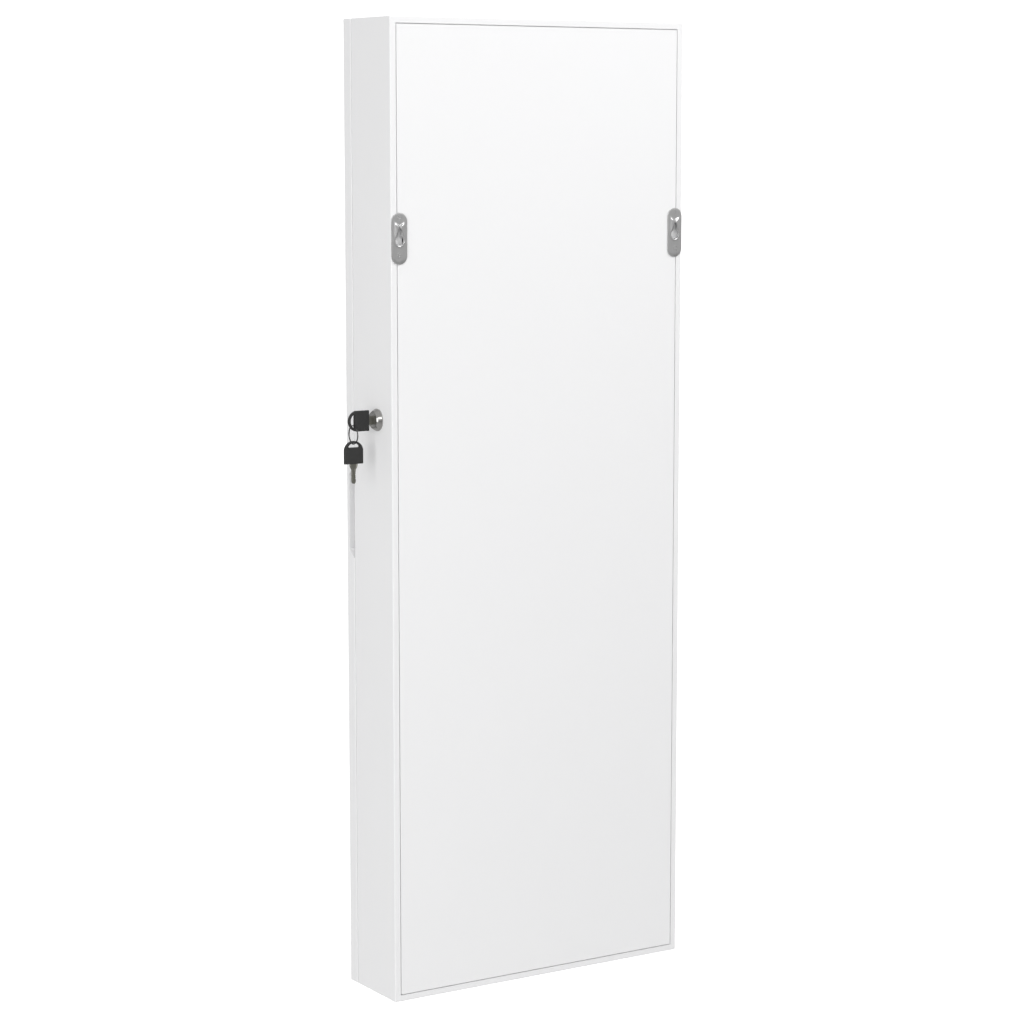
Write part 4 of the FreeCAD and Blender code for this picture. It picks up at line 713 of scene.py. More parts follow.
class GeometryTree(Graph):
    """A geometry node tree with named inputs. What it puts out is one realised mesh with its material."""

    def __init__(self, name: str, sizes: Sizes) -> None:
        """Start the tree.

        Args:
            name: The tree's name.
            sizes: Defaults by input name. The type of each default gives the socket's.
        """
        super().__init__(bpy.data.node_groups.new(name, "GeometryNodeTree"))
        face = self.tree.interface
        face.new_socket("Geometry", in_out="INPUT", socket_type="NodeSocketGeometry")
        face.new_socket("Material", in_out="INPUT", socket_type="NodeSocketMaterial")
        kinds = {float: "NodeSocketFloat", int: "NodeSocketInt", tuple: "NodeSocketVector"}
        for key, default in sizes.items():
            face.new_socket(key, in_out="INPUT", socket_type=kinds[type(default)]).default_value = default
        face.new_socket("Geometry", in_out="OUTPUT", socket_type="NodeSocketGeometry")
        self.given = self.put("NodeGroupInput").outputs

    def close(self, shape: Socket) -> None:
        """Stand a shape at each given point, realise it, set its material and put it out.

        Args:
            shape: The shape, with its origin where the point comes.
        """
        inputs = {"Points": self.given["Geometry"], "Instance": shape}
        placed = self.put("GeometryNodeInstanceOnPoints", inputs)
        real = self.put("GeometryNodeRealizeInstances", {"Geometry": placed.outputs[0]}).outputs[0]
        finished = self.put("GeometryNodeSetMaterial", {"Geometry": real, "Material": self.given["Material"]})
        self.put("NodeGroupOutput", {"Geometry": finished.outputs[0]})

    def moved(self, geometry: Socket, by: object, turned: object = (0.0, 0.0, 0.0)) -> Socket:
        """A geometry moved and turned."""
        inputs = {"Geometry": geometry, "Translation": by, "Rotation": turned}
        return self.put("GeometryNodeTransform", inputs).outputs[0]

    def vector(self, x: object = 0.0, y: object = 0.0, z: object = 0.0) -> Socket:
        """A vector of three numbers or sockets."""
        return self.put("ShaderNodeCombineXYZ", {0: x, 1: y, 2: z}).outputs[0]

    def joined(self, *parts: Socket) -> Socket:
        """Several geometries as one.

        Args:
            parts: The geometries.

        Returns:
            The joined geometry's socket.
        """
        node = self.put("GeometryNodeJoinGeometry")
        for part in reversed(parts):
            self.tree.links.new(part, node.inputs[0])
        return node.outputs[0]

    def grow(self, name: str, finish: Finish, spots: Sequence[Point], **sizes: object) -> bpy.types.Object:
        """Make one plain piece from the tree.

        Args:
            name: The piece's name.
            finish: Its finish.
            spots: The points that it starts from.
            sizes: Values by input name, with _ for a space.

        Returns:
            The piece, with no modifier left on it.
        """
        mesh = bpy.data.meshes.new(name)
        mesh.from_pydata([tuple(spot) for spot in spots], [], [])
        carrier = new_piece(name + "_spots", mesh)
        modifier = carrier.modifiers.new("Shape", "NODES")
        modifier.node_group = self.tree
        values = {key.replace("_", " "): value for key, value in sizes.items()}
        values["Material"] = finish.material()
        for item in self.tree.interface.items_tree:
            if item.in_out == "INPUT" and item.name in values:
                modifier[item.identifier] = values[item.name]
        solved = carrier.evaluated_get(bpy.context.evaluated_depsgraph_get())
        grown = bpy.data.meshes.new_from_object(solved)
        bpy.data.objects.remove(carrier)
        smooth_by_angle(grown)
        return new_piece(name, grown)


def screw_tree() -> GeometryTree:
    """Countersunk screws with a cross recess, one at each point, their heads' tops on the points.

    Returns:
        The tree.
    """
    sizes: Sizes = {
        "Head Radius": 0.0028, "Head Height": 0.001, "Shank Radius": 0.0015, "Length": 0.014,
        "Recess Width": 0.0008, "Recess Depth": 0.0007, "Turn": (0.0, 0.0, 0.0), "Spin": 0.4,
    }
    tree = GeometryTree("cross_recess_screws", sizes)
    given = tree.given
    cone = tree.put("GeometryNodeMeshCone", {
        "Vertices": 28, "Radius Top": given["Shank Radius"], "Radius Bottom": given["Head Radius"],
        "Depth": given["Head Height"],
    }).outputs[0]
    shank_length = tree.math("SUBTRACT", given["Length"], given["Head Height"])
    shank = tree.put("GeometryNodeMeshCylinder", {
        "Vertices": 20, "Radius": given["Shank Radius"], "Depth": shank_length,
    }).outputs[0]
    middle = tree.math("ADD", given["Head Height"], tree.math("DIVIDE", shank_length, 2.0))
    shank = tree.moved(shank, tree.vector(z=middle))
    reach = tree.math("MULTIPLY", given["Head Radius"], 1.25)
    deep = tree.math("MULTIPLY", given["Recess Depth"], 2.0)
    across = tree.put("GeometryNodeMeshCube", {0: tree.vector(reach, given["Recess Width"], deep)}).outputs[0]
    along = tree.put("GeometryNodeMeshCube", {0: tree.vector(given["Recess Width"], reach, deep)}).outputs[0]
    cut = cone
    for bar in (across, along):
        cut = tree.put(
            "GeometryNodeMeshBoolean", {0: cut, 1: bar}, operation="DIFFERENCE", solver="EXACT"
        ).outputs[0]
    screw = tree.moved(tree.joined(cut, shank), (0.0, 0.0, 0.0), tree.vector(z=given["Spin"]))
    tree.close(tree.moved(screw, (0.0, 0.0, 0.0), given["Turn"]))
    return tree


def peg_tree() -> GeometryTree:
    """A row of pegs with ball ends and round roses, along x from the first point, reaching to -y.

    Returns:
        The tree.
    """
    sizes: Sizes = {
        "Count": 12, "Pitch": 0.026, "Peg Radius": 0.002, "Reach": 0.024, "Ball Radius": 0.0035,
        "Rose Radius": 0.0036, "Rose Height": 0.002,
    }
    tree = GeometryTree("ball_pegs", sizes)
    given = tree.given
    peg = tree.put("GeometryNodeMeshCylinder", {
        "Vertices": 20, "Radius": given["Peg Radius"], "Depth": given["Reach"],
    }).outputs[0]
    peg = tree.moved(peg, tree.vector(z=tree.math("DIVIDE", given["Reach"], 2.0)))
    ball = tree.put("GeometryNodeMeshUVSphere", {
        "Segments": 24, "Rings": 14, "Radius": given["Ball Radius"],
    }).outputs[0]
    ball = tree.moved(ball, tree.vector(z=given["Reach"]))
    top = tree.math("MULTIPLY", given["Rose Radius"], 0.72)
    rose = tree.put("GeometryNodeMeshCone", {
        "Vertices": 24, "Radius Top": top, "Radius Bottom": given["Rose Radius"],
        "Depth": given["Rose Height"],
    }).outputs[0]
    whole = tree.moved(tree.joined(peg, ball, rose), (0.0, 0.0, 0.0), Facing.TO_FRONT.value)
    line = tree.put("GeometryNodeMeshLine", {
        "Count": given["Count"], "Offset": tree.vector(x=given["Pitch"]),
    }).outputs[0]
    tree.close(tree.put("GeometryNodeInstanceOnPoints", {"Points": line, "Instance": whole}).outputs[0])
    return tree


def split_ring_tree() -> GeometryTree:
    """A key ring of wire wound a little over two turns, standing in the plane across x.

    Returns:
        The tree.
    """
    sizes: Sizes = {
        "Turns": 2.04, "Radius": 0.0098, "Wire Thickness": 0.00058, "Wire Width": 0.00122, "Rise": 0.00128,
        "Steps": 48,
    }
    tree = GeometryTree("split_ring", sizes)
    given = tree.given
    path = tree.put("GeometryNodeCurveSpiral", {
        "Resolution": given["Steps"], "Rotations": given["Turns"], "Start Radius": given["Radius"],
        "End Radius": given["Radius"], "Height": given["Rise"],
    }).outputs[0]
    circle = tree.put("GeometryNodeCurvePrimitiveCircle", {"Resolution": 12, "Radius": 0.5}).outputs[0]
    flat = tree.vector(given["Wire Width"], given["Wire Thickness"], 1.0)
    section = tree.put("GeometryNodeTransform", {"Geometry": circle, "Scale": flat}).outputs[0]
    wire = tree.put("GeometryNodeCurveToMesh", {0: path, 1: section, "Fill Caps": True}).outputs[0]
    centred = tree.moved(wire, tree.vector(z=tree.math("MULTIPLY", given["Rise"], -0.5)))
    tree.close(tree.moved(centred, (0.0, 0.0, 0.0), Facing.TO_LOCK_SIDE.value))
    return tree


class Repeats:
    """The geometry trees, each built once."""

    def __init__(self) -> None:
        """Build the trees."""
        self.screws = screw_tree()
        self.pegs = peg_tree()
        self.split_ring = split_ring_tree()


repeats = Repeats()


@dataclass
class ScrewSet:
    """Screws of one size that point one way and share one body."""

    name: str
    node: str
    body: Body
    facing: Facing
    spots: Sequence[Point]
    length: float = 0.014
    head_radius: float = 0.0028
    head_height: float = 0.001

    def build(self) -> None:
        """Make the screws in place of their CAD node."""
        piece = repeats.screws.grow(
            self.name, ZINC_SCREW, self.spots, Length=self.length, Turn=self.facing.value,
            Head_Radius=self.head_radius, Head_Height=self.head_height,
        )
        place_piece(piece, self.body, ZINC_SCREW, self.node)


# Sub-assemblies


@dataclass
class Carcass:
    """The white boards, the back and the velvet board."""

    boards: tuple[str, ...] = ("left_side_panel", "right_side_panel", "top_panel", "bottom_panel")

    def build(self) -> None:
        """Dress the carcass."""
        dress(WHITE_LACQUER, self.boards)
        dress(WHITE_BACK, ["back_panel"])
        dress(VELVET_BOARD, ["velvet_back_board"])
        dress(BEECH, ["carcass_dowels"])
        dress(RUBBER, ["door_bumpers"])


def smooth_step(value: float, low: float, high: float) -> float:
    """A smooth rise from 0 at the low value to 1 at the high one."""
    share = min(1.0, max(0.0, (value - low) / (high - low)))
    return share * share * (3 - 2 * share)


@dataclass
class WallHangers:
    """Two pressed keyhole plates, domed round their keyholes, and their screws. Sizes are in millimetres."""

    offset: float = 177.7
    screw_heights: tuple[float, float] = (24.5, -15.5)
    half_width: float = 9.5
    low: float = -25.3
    high: float = 29.3
    thickness: float = 1.2
    rise: float = 1.6
    entry_radius: float = 4.9
    slot_half: float = 2.2
    slot_top: float = 12.4
    dome_half: float = 7.6
    dome_low: float = -7.6
    dome_high: float = 20.6
    crown: float = 16.8
    crown_slope: float = 0.5
    crown_lean: float = 0.9
    side_slope: float = 4.6
    top_slope: float = 2.6
    apex: float = 15.3
    apex_fade: float = 1.6
    valley_top: float = 0.9
    valley_spread: float = 4.0
    valley_length: float = 12.0
    valley_floor: float = 0.35
    valley_start: float = 3.0
    lip: float = 1.35
    lip_width: float = 1.5
    deepest: float = 0.96
    edge: float = 0.35
    edge_share: float = 0.3
    dome_margin: float = 0.4
    dome_share: float = 0.8
    rings: int = 22
    back_rings: int = 8
    slot_rays: tuple[float, ...] = (4.6, 5.4, 6.4, 7.4, 8.4, 9.3)
    tip_rays: int = 12
    end_rays: int = 24
    even_rays: int = 72
    ray_gap: float = 0.02
    top_gap: float = 0.001
    seat_radii: tuple[float, float] = (3.1, 1.45)
    seat_depth: float = 1.9
    seat_middle: float = -2.1
    sharp_angle: float = 28.0

    def reach(self, angle: float, half: float, low: float, high: float) -> float:
        """How far a ray from the entry hole's centre runs inside an upright outline with round ends.

        Args:
            angle: The ray's angle from +x, in radians.
            half: Half of the outline's width.
            low: The outline's lowest point.
            high: The outline's highest point.

        Returns:
            The distance in millimetres.
        """
        across, up = math.cos(angle), math.sin(angle)
        side = half / max(abs(across), 1e-9)
        if low + half <= side * up <= high - half:
            return side
        centre = high - half if up > 0 else low + half
        return up * centre + math.sqrt(max(0.0, half ** 2 - (across * centre) ** 2))

    def keyhole(self, angle: float) -> float:
        """How far a ray runs inside the keyhole."""
        slot = self.reach(angle, self.slot_half, -self.slot_half, self.slot_top)
        return max(self.entry_radius, slot)

    def height(self, across: float, up: float) -> float:
        """How high the pressed face stands over the flat plate at a point.

        Args:
            across: The point's distance from the middle of the plate.
            up: Its height over the entry hole's centre.

        Returns:
            The height in millimetres.
        """
        far = abs(across)
        reach = math.hypot(across, up)
        inside = self.reach(math.atan2(min(up, 0.0), across), self.dome_half, self.dome_low, self.dome_high)
        inside -= reach if up < 0 else far
        top = (self.crown + self.crown_slope * far - up) * self.crown_lean
        dome = self.rise * smooth_step(inside, 0.0, self.side_slope) * smooth_step(top, 0.0, self.top_slope)
        valley = self.valley_top + self.valley_spread * smooth_step(self.apex - up, 0.0, self.valley_length)
        sides = 1 - smooth_step(far, valley * self.valley_floor, valley)
        sides *= smooth_step(up, 0.0, self.valley_start)
        sides *= smooth_step(self.apex + self.apex_fade - up, 0.0, self.apex_fade)
        round_lip = 1 - smooth_step(reach - self.entry_radius, 0.0, self.lip_width)
        return dome - min(self.deepest * dome, self.lip * max(sides, round_lip))

    def angles(self) -> list[float]:
        """The angles of the rays, dense where the keyhole or the plate's upper end turns.

        Returns:
            The angles in radians, once round from straight down.
        """
        half, tip, end = self.slot_half, self.slot_top - self.slot_half, self.high - self.half_width
        spots = [(half, up) for up in self.slot_rays]
        for radius, centre, steps in ((half, tip, self.tip_rays), (self.half_width, end, self.end_rays)):
            turns = [step * math.pi / steps for step in range(steps // 2 + 1)]
            spots += [(radius * math.cos(turn), centre + radius * math.sin(turn)) for turn in turns]
        upper = sorted({round(math.atan2(up, across), 5) for across, up in spots})
        even = [-math.pi / 2 + step * math.pi / self.even_rays for step in range(1, self.even_rays)]
        right = [turn for turn in even if turn < upper[0] - self.ray_gap]
        right += [turn for turn in upper if turn < math.pi / 2 - self.top_gap]
        return [-math.pi / 2] + right + [math.pi / 2] + [math.pi - turn for turn in reversed(right)]

    def plate(self, name: str, middle: float) -> bpy.types.Object:
        """One pressed plate.

        Args:
            name: The plate's name.
            middle: Where the middle of the plate is along x.

        Returns:
            The plate, without its screw seats.
        """
        shape = bmesh.new()
        angles = self.angles()

        def loop(share: float, level: float, inset: float = 0.0) -> list[bmesh.types.BMVert]:
            """Lay a ring of points round the keyhole.

            Args:
                share: How far out they are, from 0 at the keyhole to 1 at the rim.
                level: 0 at the pressed face, and below 0 towards the cabinet.
                inset: How far the rim is drawn in.

            Returns:
                The ring's points.
            """
            verts = []
            for angle in angles:
                hole = self.keyhole(angle)
                rim = self.reach(angle, self.half_width, self.low, self.high) - inset
                dome = self.reach(angle, self.dome_half, self.dome_low, self.dome_high)
                dome = min(rim - self.dome_margin, dome)
                if share < self.dome_share:
                    radius = hole + (dome - hole) * share / self.dome_share
                else:
                    radius = dome + (rim - dome) * (share - self.dome_share) / (1 - self.dome_share)
                across, up = radius * math.cos(angle), radius * math.sin(angle)
                depth = level - self.rise + self.height(across, up)
                verts.append(shape.verts.new(((middle + across) * MM, depth * MM, up * MM)))
            return verts

        front = [loop(ring / self.rings, 0.0) for ring in range(self.rings)]
        front.append(loop(1.0, 0.0, self.edge))
        front.append(loop(1.0, -self.edge * self.edge_share, self.edge * self.edge_share))
        front.append(loop(1.0, -self.edge))
        back = [loop(ring / self.back_rings, -self.thickness) for ring in range(self.back_rings, -1, -1)]
        bridge(shape, front + back + front[:1])
        return shape_piece(name, shape)

    def seats(self, middle: float) -> bpy.types.Object:
        """The cones that cut a plate's countersunk screw seats.

        Args:
            middle: Where the middle of the plate is along x.

        Returns:
            The cones, as one piece.
        """
        shape = bmesh.new()
        for height in self.screw_heights:
            turn = Matrix.Rotation(math.pi / 2, 4, "X")
            place = Matrix.Translation((middle * MM, self.seat_middle * MM, height * MM))
            bmesh.ops.create_cone(
                shape, cap_ends=True, segments=28, radius1=self.seat_radii[0] * MM,
                radius2=self.seat_radii[1] * MM, depth=self.seat_depth * MM, matrix=place @ turn,
            )
        return shape_piece("seats", shape)

    def build(self) -> None:
        """Press the plates, cut their seats and make their screws."""
        for side, middle in (("left", -self.offset), ("right", self.offset)):
            blank, seats = self.plate(f"{side}_hanger", middle), self.seats(middle)
            cut = blank.modifiers.new("Seats", "BOOLEAN")
            cut.operation, cut.solver, cut.object = "DIFFERENCE", "EXACT", seats
            solved = blank.evaluated_get(bpy.context.evaluated_depsgraph_get())
            mesh = bpy.data.meshes.new_from_object(solved)
            bpy.data.objects.remove(blank)
            bpy.data.objects.remove(seats)
            smooth_by_angle(mesh, self.sharp_angle)
            plate = new_piece(f"{side}_pressed_hanger", mesh)
            plate.data.materials.clear()
            place_piece(plate, Body.CABINET, SATIN_STEEL, f"{side}_hanger_plate")
        middles = (-self.offset, self.offset)
        spots = [(x * MM, -self.rise * MM, z * MM) for x in middles for z in self.screw_heights]
        ScrewSet(
            "hanger_cross_screws", "hanger_screws", Body.CABINET, Facing.TO_FRONT, spots,
            head_height=self.thickness * MM,
        ).build()


@dataclass
class MirrorDoor:
    """The framed mirror and its backing board."""

    def build(self) -> None:
        """Dress the door."""
        dress(WHITE_LACQUER, ["door_frame"])
        dress(MIRROR, ["mirror_glass"])
        dress(VELVET_BOARD, ["door_backing_board"])


@dataclass
class Hinges:
    """Three butt hinges with five knuckles each, their pins and their screws."""

    screw_x: float = -0.181
    centres: tuple[float, ...] = (-0.702, -0.297, 0.108)
    spacing: float = 0.017
    seam_y: float = -0.0862
    half_gap: float = 0.0001
    carcass_screw: float = 0.0145
    door_screw: float = 0.011

    def build(self) -> None:
        """Dress the leaves and pins, and make the screws."""
        for where in ("lower", "middle", "upper"):
            dress(NICKEL, [f"{where}_hinge_{side}_leaf" for side in ("carcass", "door")])
        dress(NICKEL, ["hinge_pins"])
        heights = [centre + step * self.spacing for centre in self.centres for step in (-1, 0, 1)]
        rear = [(self.screw_x, self.seam_y + self.half_gap, z) for z in heights]
        front = [(self.screw_x, self.seam_y - self.half_gap, z) for z in heights]
        ScrewSet(
            "hinge_cross_screws_carcass", "hinge_carcass_screws", Body.CABINET, Facing.TO_REAR, rear,
            self.carcass_screw,
        ).build()
        ScrewSet(
            "hinge_cross_screws_door", "hinge_door_screws", Body.DOOR, Facing.TO_FRONT, front, self.door_screw
        ).build()


@dataclass
class CamLock:
    """The lock in the side panel and the striker that its cam drops through."""

    striker_screws: tuple[Point, ...] = ((0.166, -0.0848, -0.241), (0.166, -0.0848, -0.2245))

    def build(self) -> None:
        """Dress the lock and the striker."""
        # The housing gets the darker copy of the nickel, painted shade for the bezel's dark reflections; the
        # nut keeps the plain nickel.
        dress(LOCK_NICKEL_PAINTED_SHADE, ["lock_housing"])
        dress(NICKEL, ["lock_nut"])
        dress(DARK_NICKEL, ["lock_plug"])
        dress(ZINC_STEEL, ["lock_cam", "striker_bracket"])
        dress(ZINC_SCREW, ["cam_screw"])
        ScrewSet(
            "striker_cross_screws", "striker_screws", Body.DOOR, Facing.TO_FRONT, self.striker_screws, 0.012
        ).build()


@dataclass
class Keys:
    """The key in the lock, the split ring and the spare key."""

    ring_centre: Point = (0.2171, -0.0338, -0.2059)
    ring_radius: float = 0.0098
    blade_axis: tuple[float, float] = (217.1, -33.8)
    blade_top: float = -229.0
    blade_half: float = 2.5
    thickness: float = 1.9
    groove: float = 0.45
    groove_floor: float = 1.3
    groove_edge: float = 0.9
    blade_edge: float = 0.25
    tip_start: float = -28.0
    tip_rise: float = 0.6
    sharp_angle: float = 30.0

    def outline(self) -> list[tuple[float, float]]:
        """The spare blade's outline, from rows of how far down, left and right each pair of points is.

        Returns:
            Pairs of x and z in millimetres, down the left edge and up the right one.
        """
        shoulder = [
            (0.0, 3.6, 3.6), (6.6, 3.9, 3.9), (8.0, 4.5, 4.5), (9.6, 4.55, 4.55), (11.2, 4.2, 4.2),
            (12.6, 3.4, 3.4), (13.8, 2.6, 2.75), (15.2, 2.3, 2.55),
        ]
        bitting = [
            (16.2, 2.35), (17.2, 1.75), (18.2, 2.3), (19.2, 1.5), (20.4, 2.25), (21.4, 1.75), (22.4, 2.3),
            (23.6, 1.6), (24.8, 2.3), (26.4, 2.4),
        ]
        tip = [(27.6, 2.15, 2.25), (28.6, 1.5, 1.55), (29.3, 0.45, 0.45)]
        rows = shoulder + [(down, near, self.blade_half) for down, near in bitting] + tip
        left = [(-near, -down) for down, near, _ in rows]
        right = [(far, -down) for down, _, far in reversed(rows)]
        return left + right

    def spare_blade(self) -> bpy.types.Object:
        """The spare key's blade, with a rounded shoulder, bitting and a milled groove down its middle.

        Returns:
            The blade.
        """
        shape = bmesh.new()
        ring = self.outline()
        middle_x, middle_y = self.blade_axis
        half = self.thickness / 2

        def loop(shrink: float, depth: float) -> list[bmesh.types.BMVert]:
            """Lay the outline's points once.

            Args:
                shrink: How far they are drawn in towards the middle.
                depth: How far they are from the blade's middle plane.

            Returns:
                The points.
            """
            verts = []
            for across, down in ring:
                inset = across * (1 - shrink / max(abs(across), shrink * 2))
                drop = down + shrink * self.tip_rise if down < self.tip_start else down
                place = ((middle_x + inset) * MM, (middle_y + depth) * MM, (self.blade_top + drop) * MM)
                verts.append(shape.verts.new(place))
            return verts

        steps = [
            (self.groove_floor, -half + self.groove), (self.groove_edge, -half), (self.blade_edge, -half),
            (0.0, -half + self.blade_edge),
        ]
        steps += [(shrink, -depth) for shrink, depth in reversed(steps)]
        loops = [loop(shrink, depth) for shrink, depth in steps]
        bridge(shape, loops)
        count = len(ring) // 2
        for side in (loops[0], loops[-1]):
            for step in range(count - 1):
                shape.faces.new((side[step], side[step + 1], side[-step - 2], side[-step - 1]))
        blade = shape_piece("spare_milled_blade", shape)
        smooth_by_angle(blade.data, self.sharp_angle)
        return blade

    def build(self) -> None:
        """Dress the keys, cut the spare blade and wind the ring."""
        dress(BLACK_PLASTIC, ["lock_key_head", "spare_key_head"])
        dress(KEY_METAL, ["lock_key_blade"])
        place_piece(self.spare_blade(), Body.SPARE_KEY, KEY_METAL, "spare_key_blade")
        ring = repeats.split_ring.grow("split_ring", RING_WIRE, [self.ring_centre], Radius=self.ring_radius)
        place_piece(ring, Body.RING, RING_WIRE, "key_ring")


@dataclass
class Catches:
    """Magnet catches, their strikes and screws."""

    heights: tuple[float, ...] = (-0.627, 0.033)
    spacing: float = 0.032
    case_x: float = 0.1605
    screw_y: float = -0.0692
    strike_x: float = 0.166
    strike_y: float = -0.0858

    def build(self) -> None:
        """Dress the catches and make their screws."""
        dress(WHITE_PLASTIC, ["magnet_catch_cases"])
        dress(MAGNET, ["catch_magnets"])
        dress(ZINC_STEEL, ["strike_plates"])
        heights = [middle + step * self.spacing / 2 for middle in self.heights for step in (-1, 1)]
        case = [(self.case_x, self.screw_y, z) for z in heights]
        strike = [(self.strike_x, self.strike_y, z) for z in heights]
        ScrewSet("catch_cross_screws", "catch_screws", Body.CABINET, Facing.TO_LOCK_SIDE, case, 0.02).build()
        ScrewSet(
            "strike_cross_screws", "strike_plate_screws", Body.DOOR, Facing.TO_FRONT, strike, 0.011
        ).build()


@dataclass
class NecklaceRack:
    """The rail and its row of ball-ended pegs."""

    count: int = 12
    pitch: float = 0.026
    start: Point = (-0.143, -0.0198, 0.15)
    reach: float = 0.024

    def build(self) -> None:
        """Dress the rail and make the pegs."""
        dress(WHITE_LACQUER, ["necklace_rail"])
        pegs = repeats.pegs.grow(
            "necklace_pegs", NICKEL, [self.start], Count=self.count, Pitch=self.pitch, Reach=self.reach
        )
        place_piece(pegs, Body.CABINET, NICKEL, "necklace_hooks")


@dataclass
class RingTray:
    """The tray of soft velvet rolls that rings are pushed between."""

    length: float = 0.3212
    radius: float = 0.00895
    axis_y: float = -0.02075
    lowest_z: float = -0.37383
    pitch: float = 0.018333
    count: int = 6
    rounds: int = 28
    rings: int = 96
    fill: float = 0.85
    fullness: float = 0.955
    pucker: float = 0.028
    pucker_along: float = 22.0
    pucker_round: float = 1.4
    pucker_shift: float = 7.3
    seam_pucker: float = 0.01
    seam_rate: float = 900.0
    gathered: float = 0.3

    def roll(self, number: int) -> bpy.types.Object:
        """One velvet roll: a foam core in a sleeve that is puckered along its seam and gathered at its ends.

        Args:
            number: Which roll it is, counted from the bottom.

        Returns:
            The roll.
        """
        shape = bmesh.new()
        z = self.lowest_z + number * self.pitch
        loops = []
        for ring in range(self.rings + 1):
            share = ring / self.rings
            x = (share - 0.5) * self.length
            end = min(share, 1 - share) * self.length
            shoulder = math.sqrt(max(0.0, 1 - max(0.0, 1 - end / self.radius) ** 2))
            loop = []
            for step in range(self.rounds):
                angle = 2 * math.pi * step / self.rounds
                across, up = math.cos(angle), math.sin(angle)
                shift = number * self.pucker_shift
                spot = (x * self.pucker_along, across * self.pucker_round, up * self.pucker_round + shift)
                seam = self.seam_pucker * math.sin(x * self.seam_rate) * max(0.0, math.cos(angle - math.pi))
                full = self.fullness + self.pucker * noise.noise(Vector(spot)) + seam
                reach = self.radius * full * (self.gathered + (1 - self.gathered) * shoulder)
                loop.append(shape.verts.new((x, self.axis_y + reach * across, z + reach * up)))
            loops.append(loop)
        bridge(shape, loops)
        shape.faces.new(loops[0])
        shape.faces.new(list(reversed(loops[-1])))
        roll = shape_piece(f"ring_roll_{number + 1}", shape)
        roll.data.shade_smooth()
        return roll

    def build(self) -> None:
        """Dress the tray and make its rolls."""
        dress(VELVET_BOARD, ["ring_tray"])
        for number in range(self.count):
            roll = place_piece(self.roll(number), Body.CABINET, VELVET_FOAM, "ring_rolls")


@dataclass
class Storage:
    """The bracelet rod, the shelves and the fittings on the door's inner side."""

    def build(self) -> None:
        """Dress the fittings."""
        dress(NICKEL, ["bracelet_rod"])
        dress(WHITE_PLASTIC, ["rod_cups", "earring_panel", "earring_panel_spacers"])
        dress(WHITE_LACQUER, ["lower_shelf", "upper_shelf"])
        dress(ZINC_SCREW, ["shelf_pegs"])
        dress(CLEAR_ACRYLIC, ["lower_shelf_fence", "upper_shelf_fence", "door_tray"])


# Studio


@dataclass(frozen=True)
class Softbox:
    """A square area light that looks at a point."""

    name: str
    place: Point
    target: Point
    size: float
    power: float

    def build(self) -> None:
        """Add the light."""
        lamp = bpy.data.lights.new(self.name, "AREA")
        lamp.shape = "SQUARE"
        lamp.size = self.size
        lamp.energy = self.power
        light = bpy.data.objects.new(self.name, lamp)
        bpy.context.scene.collection.objects.link(light)
        aim = (Vector(self.target) - Vector(self.place)).to_track_quat("-Z", "Y")
        light.matrix_world = Matrix.Translation(self.place) @ aim.to_matrix().to_4x4()


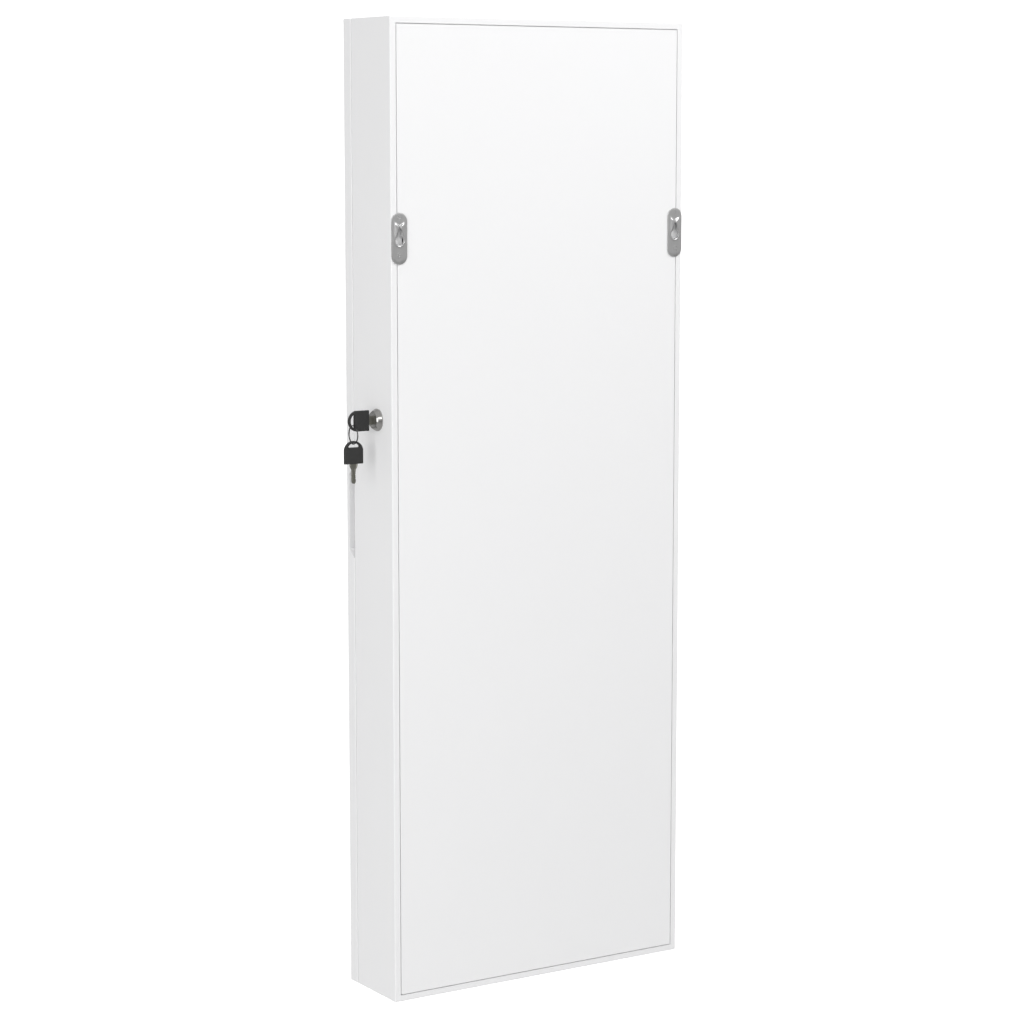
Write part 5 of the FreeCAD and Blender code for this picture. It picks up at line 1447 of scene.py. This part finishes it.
@dataclass
class Studio:
    """The camera, the pale floor and the soft light."""

    lens: float = 97.85
    sensor: float = 36.0
    camera_place: Point = (1.65059, 2.54177, 0.11292)
    azimuth: float = 147.62
    elevation: float = 7.77
    floor_height: float = -1.35
    floor_size: float = 60.0
    # The floor's colour darkens from near_shade to far_shade over fade metres: painted shade, so that metal
    # and the mirror reflect a darker far floor.
    near_shade: float = 0.62
    far_shade: float = 0.46
    fade: float = 6.0
    sky: float = 0.77
    front_dip: float = 0.6
    seen_white: float = 1.4
    softboxes: tuple[Softbox, ...] = (
        Softbox("key_light", (-0.65, 1.1, 1.25), (0.0, 0.0, 0.1), 0.8, 11.9),
        Softbox("side_light", (2.15, 0.9, -0.1), (0.1875, -0.05, -0.35), 1.3, 16.6),
        Softbox("fill_light", (1.25, 2.4, 0.9), (0.1, 0.0, -0.3), 0.8, 9.4),
        Softbox("front_light", (-1.4, -2.4, 1.5), (0.0, -0.1, -0.3), 1.0, 26.0),
    )

    def camera(self) -> None:
        """Stand the camera where the photograph was taken."""
        lens = bpy.data.cameras.new("camera")
        lens.lens = self.lens
        lens.sensor_width = self.sensor
        lens.clip_end = 100.0
        camera = bpy.data.objects.new("camera", lens)
        bpy.context.scene.collection.objects.link(camera)
        camera.location = self.camera_place
        tilt = math.pi / 2 - math.radians(self.elevation)
        camera.rotation_euler = Euler((tilt, 0.0, math.radians(self.azimuth)))
        bpy.context.scene.camera = camera

    def floor(self) -> None:
        """Lay the pale floor under the hanging cabinet, with painted shade that darkens it away from the
        middle.
        """
        half = self.floor_size / 2
        corners = [(-half, -half), (half, -half), (half, half), (-half, half)]
        mesh = bpy.data.meshes.new("floor")
        mesh.from_pydata([(x, y, self.floor_height) for x, y in corners], [], [(0, 1, 2, 3)])
        paint = bpy.data.materials.new("pale_floor")
        paint.use_nodes = True
        shader = paint.node_tree.nodes["Principled BSDF"]
        shader.inputs["Roughness"].default_value = 0.9
        shader.inputs["Emission Color"].default_value = (1.0, 1.0, 1.0, 1.0)
        graph = Graph(paint.node_tree)
        place = graph.place()
        flat = graph.put("ShaderNodeMapping", {"Vector": place, "Scale": (1.0, 1.0, 0.0)}).outputs[0]
        away = graph.put("ShaderNodeVectorMath", {0: flat}, operation="LENGTH").outputs["Value"]
        # Painted shade: the floor's colour darkens away from the middle, which darkens the far floor that
        # metal and the mirror reflect.
        share = graph.math("DIVIDE", away, self.fade, clamp=True)
        shade = graph.tint(share, (self.near_shade,) * 3, (self.far_shade,) * 3)
        paint.node_tree.links.new(shade, shader.inputs["Base Color"])
        seen = graph.put("ShaderNodeLightPath").outputs["Is Camera Ray"]
        paint.node_tree.links.new(graph.math("MULTIPLY", seen, 1.0), shader.inputs["Emission Strength"])
        mesh.materials.append(paint)
        new_piece("floor", mesh)

    def world(self) -> None:
        """A white surround, dimmer in front of the mirror. The camera sees it plain white."""
        world = bpy.data.worlds.new("studio")
        bpy.context.scene.world = world
        world.use_nodes = True
        world.node_tree.nodes.clear()
        graph = Graph(world.node_tree)
        seen = graph.put("ShaderNodeLightPath").outputs["Is Camera Ray"]
        way = graph.put("ShaderNodeTexCoord").outputs["Generated"]
        forward = graph.math("MINIMUM", graph.put("ShaderNodeSeparateXYZ", {0: way}).outputs["Y"], 0.0)
        dip = graph.math("MULTIPLY", graph.math("MULTIPLY", forward, forward), self.front_dip * self.sky)
        shade = graph.math("SUBTRACT", self.sky, dip)
        strength = graph.math("MAXIMUM", shade, graph.math("MULTIPLY", seen, self.seen_white))
        sky = graph.put("ShaderNodeBackground", {"Color": (1.0, 1.0, 1.0, 1.0), "Strength": strength})
        graph.put("ShaderNodeOutputWorld", {"Surface": sky.outputs[0]})

    def build(self) -> None:
        """Set up the studio."""
        scene = bpy.context.scene
        scene.view_settings.view_transform = "Standard"
        scene.view_settings.look = "None"
        self.camera()
        self.floor()
        self.world()
        for softbox in self.softboxes:
            softbox.build()


def main() -> None:
    """Build the studio and every sub-assembly."""
    logging.basicConfig(level=logging.INFO, format="%(name)s: %(message)s")
    Studio().build()
    outside = (Carcass(), WallHangers(), MirrorDoor(), Hinges(), CamLock(), Keys())
    fittings = (Catches(), NecklaceRack(), RingTray(), Storage())
    for assembly in outside + fittings:
        assembly.build()
        log.info("%s is done", type(assembly).__name__)


if __name__ == "__main__":
    main()
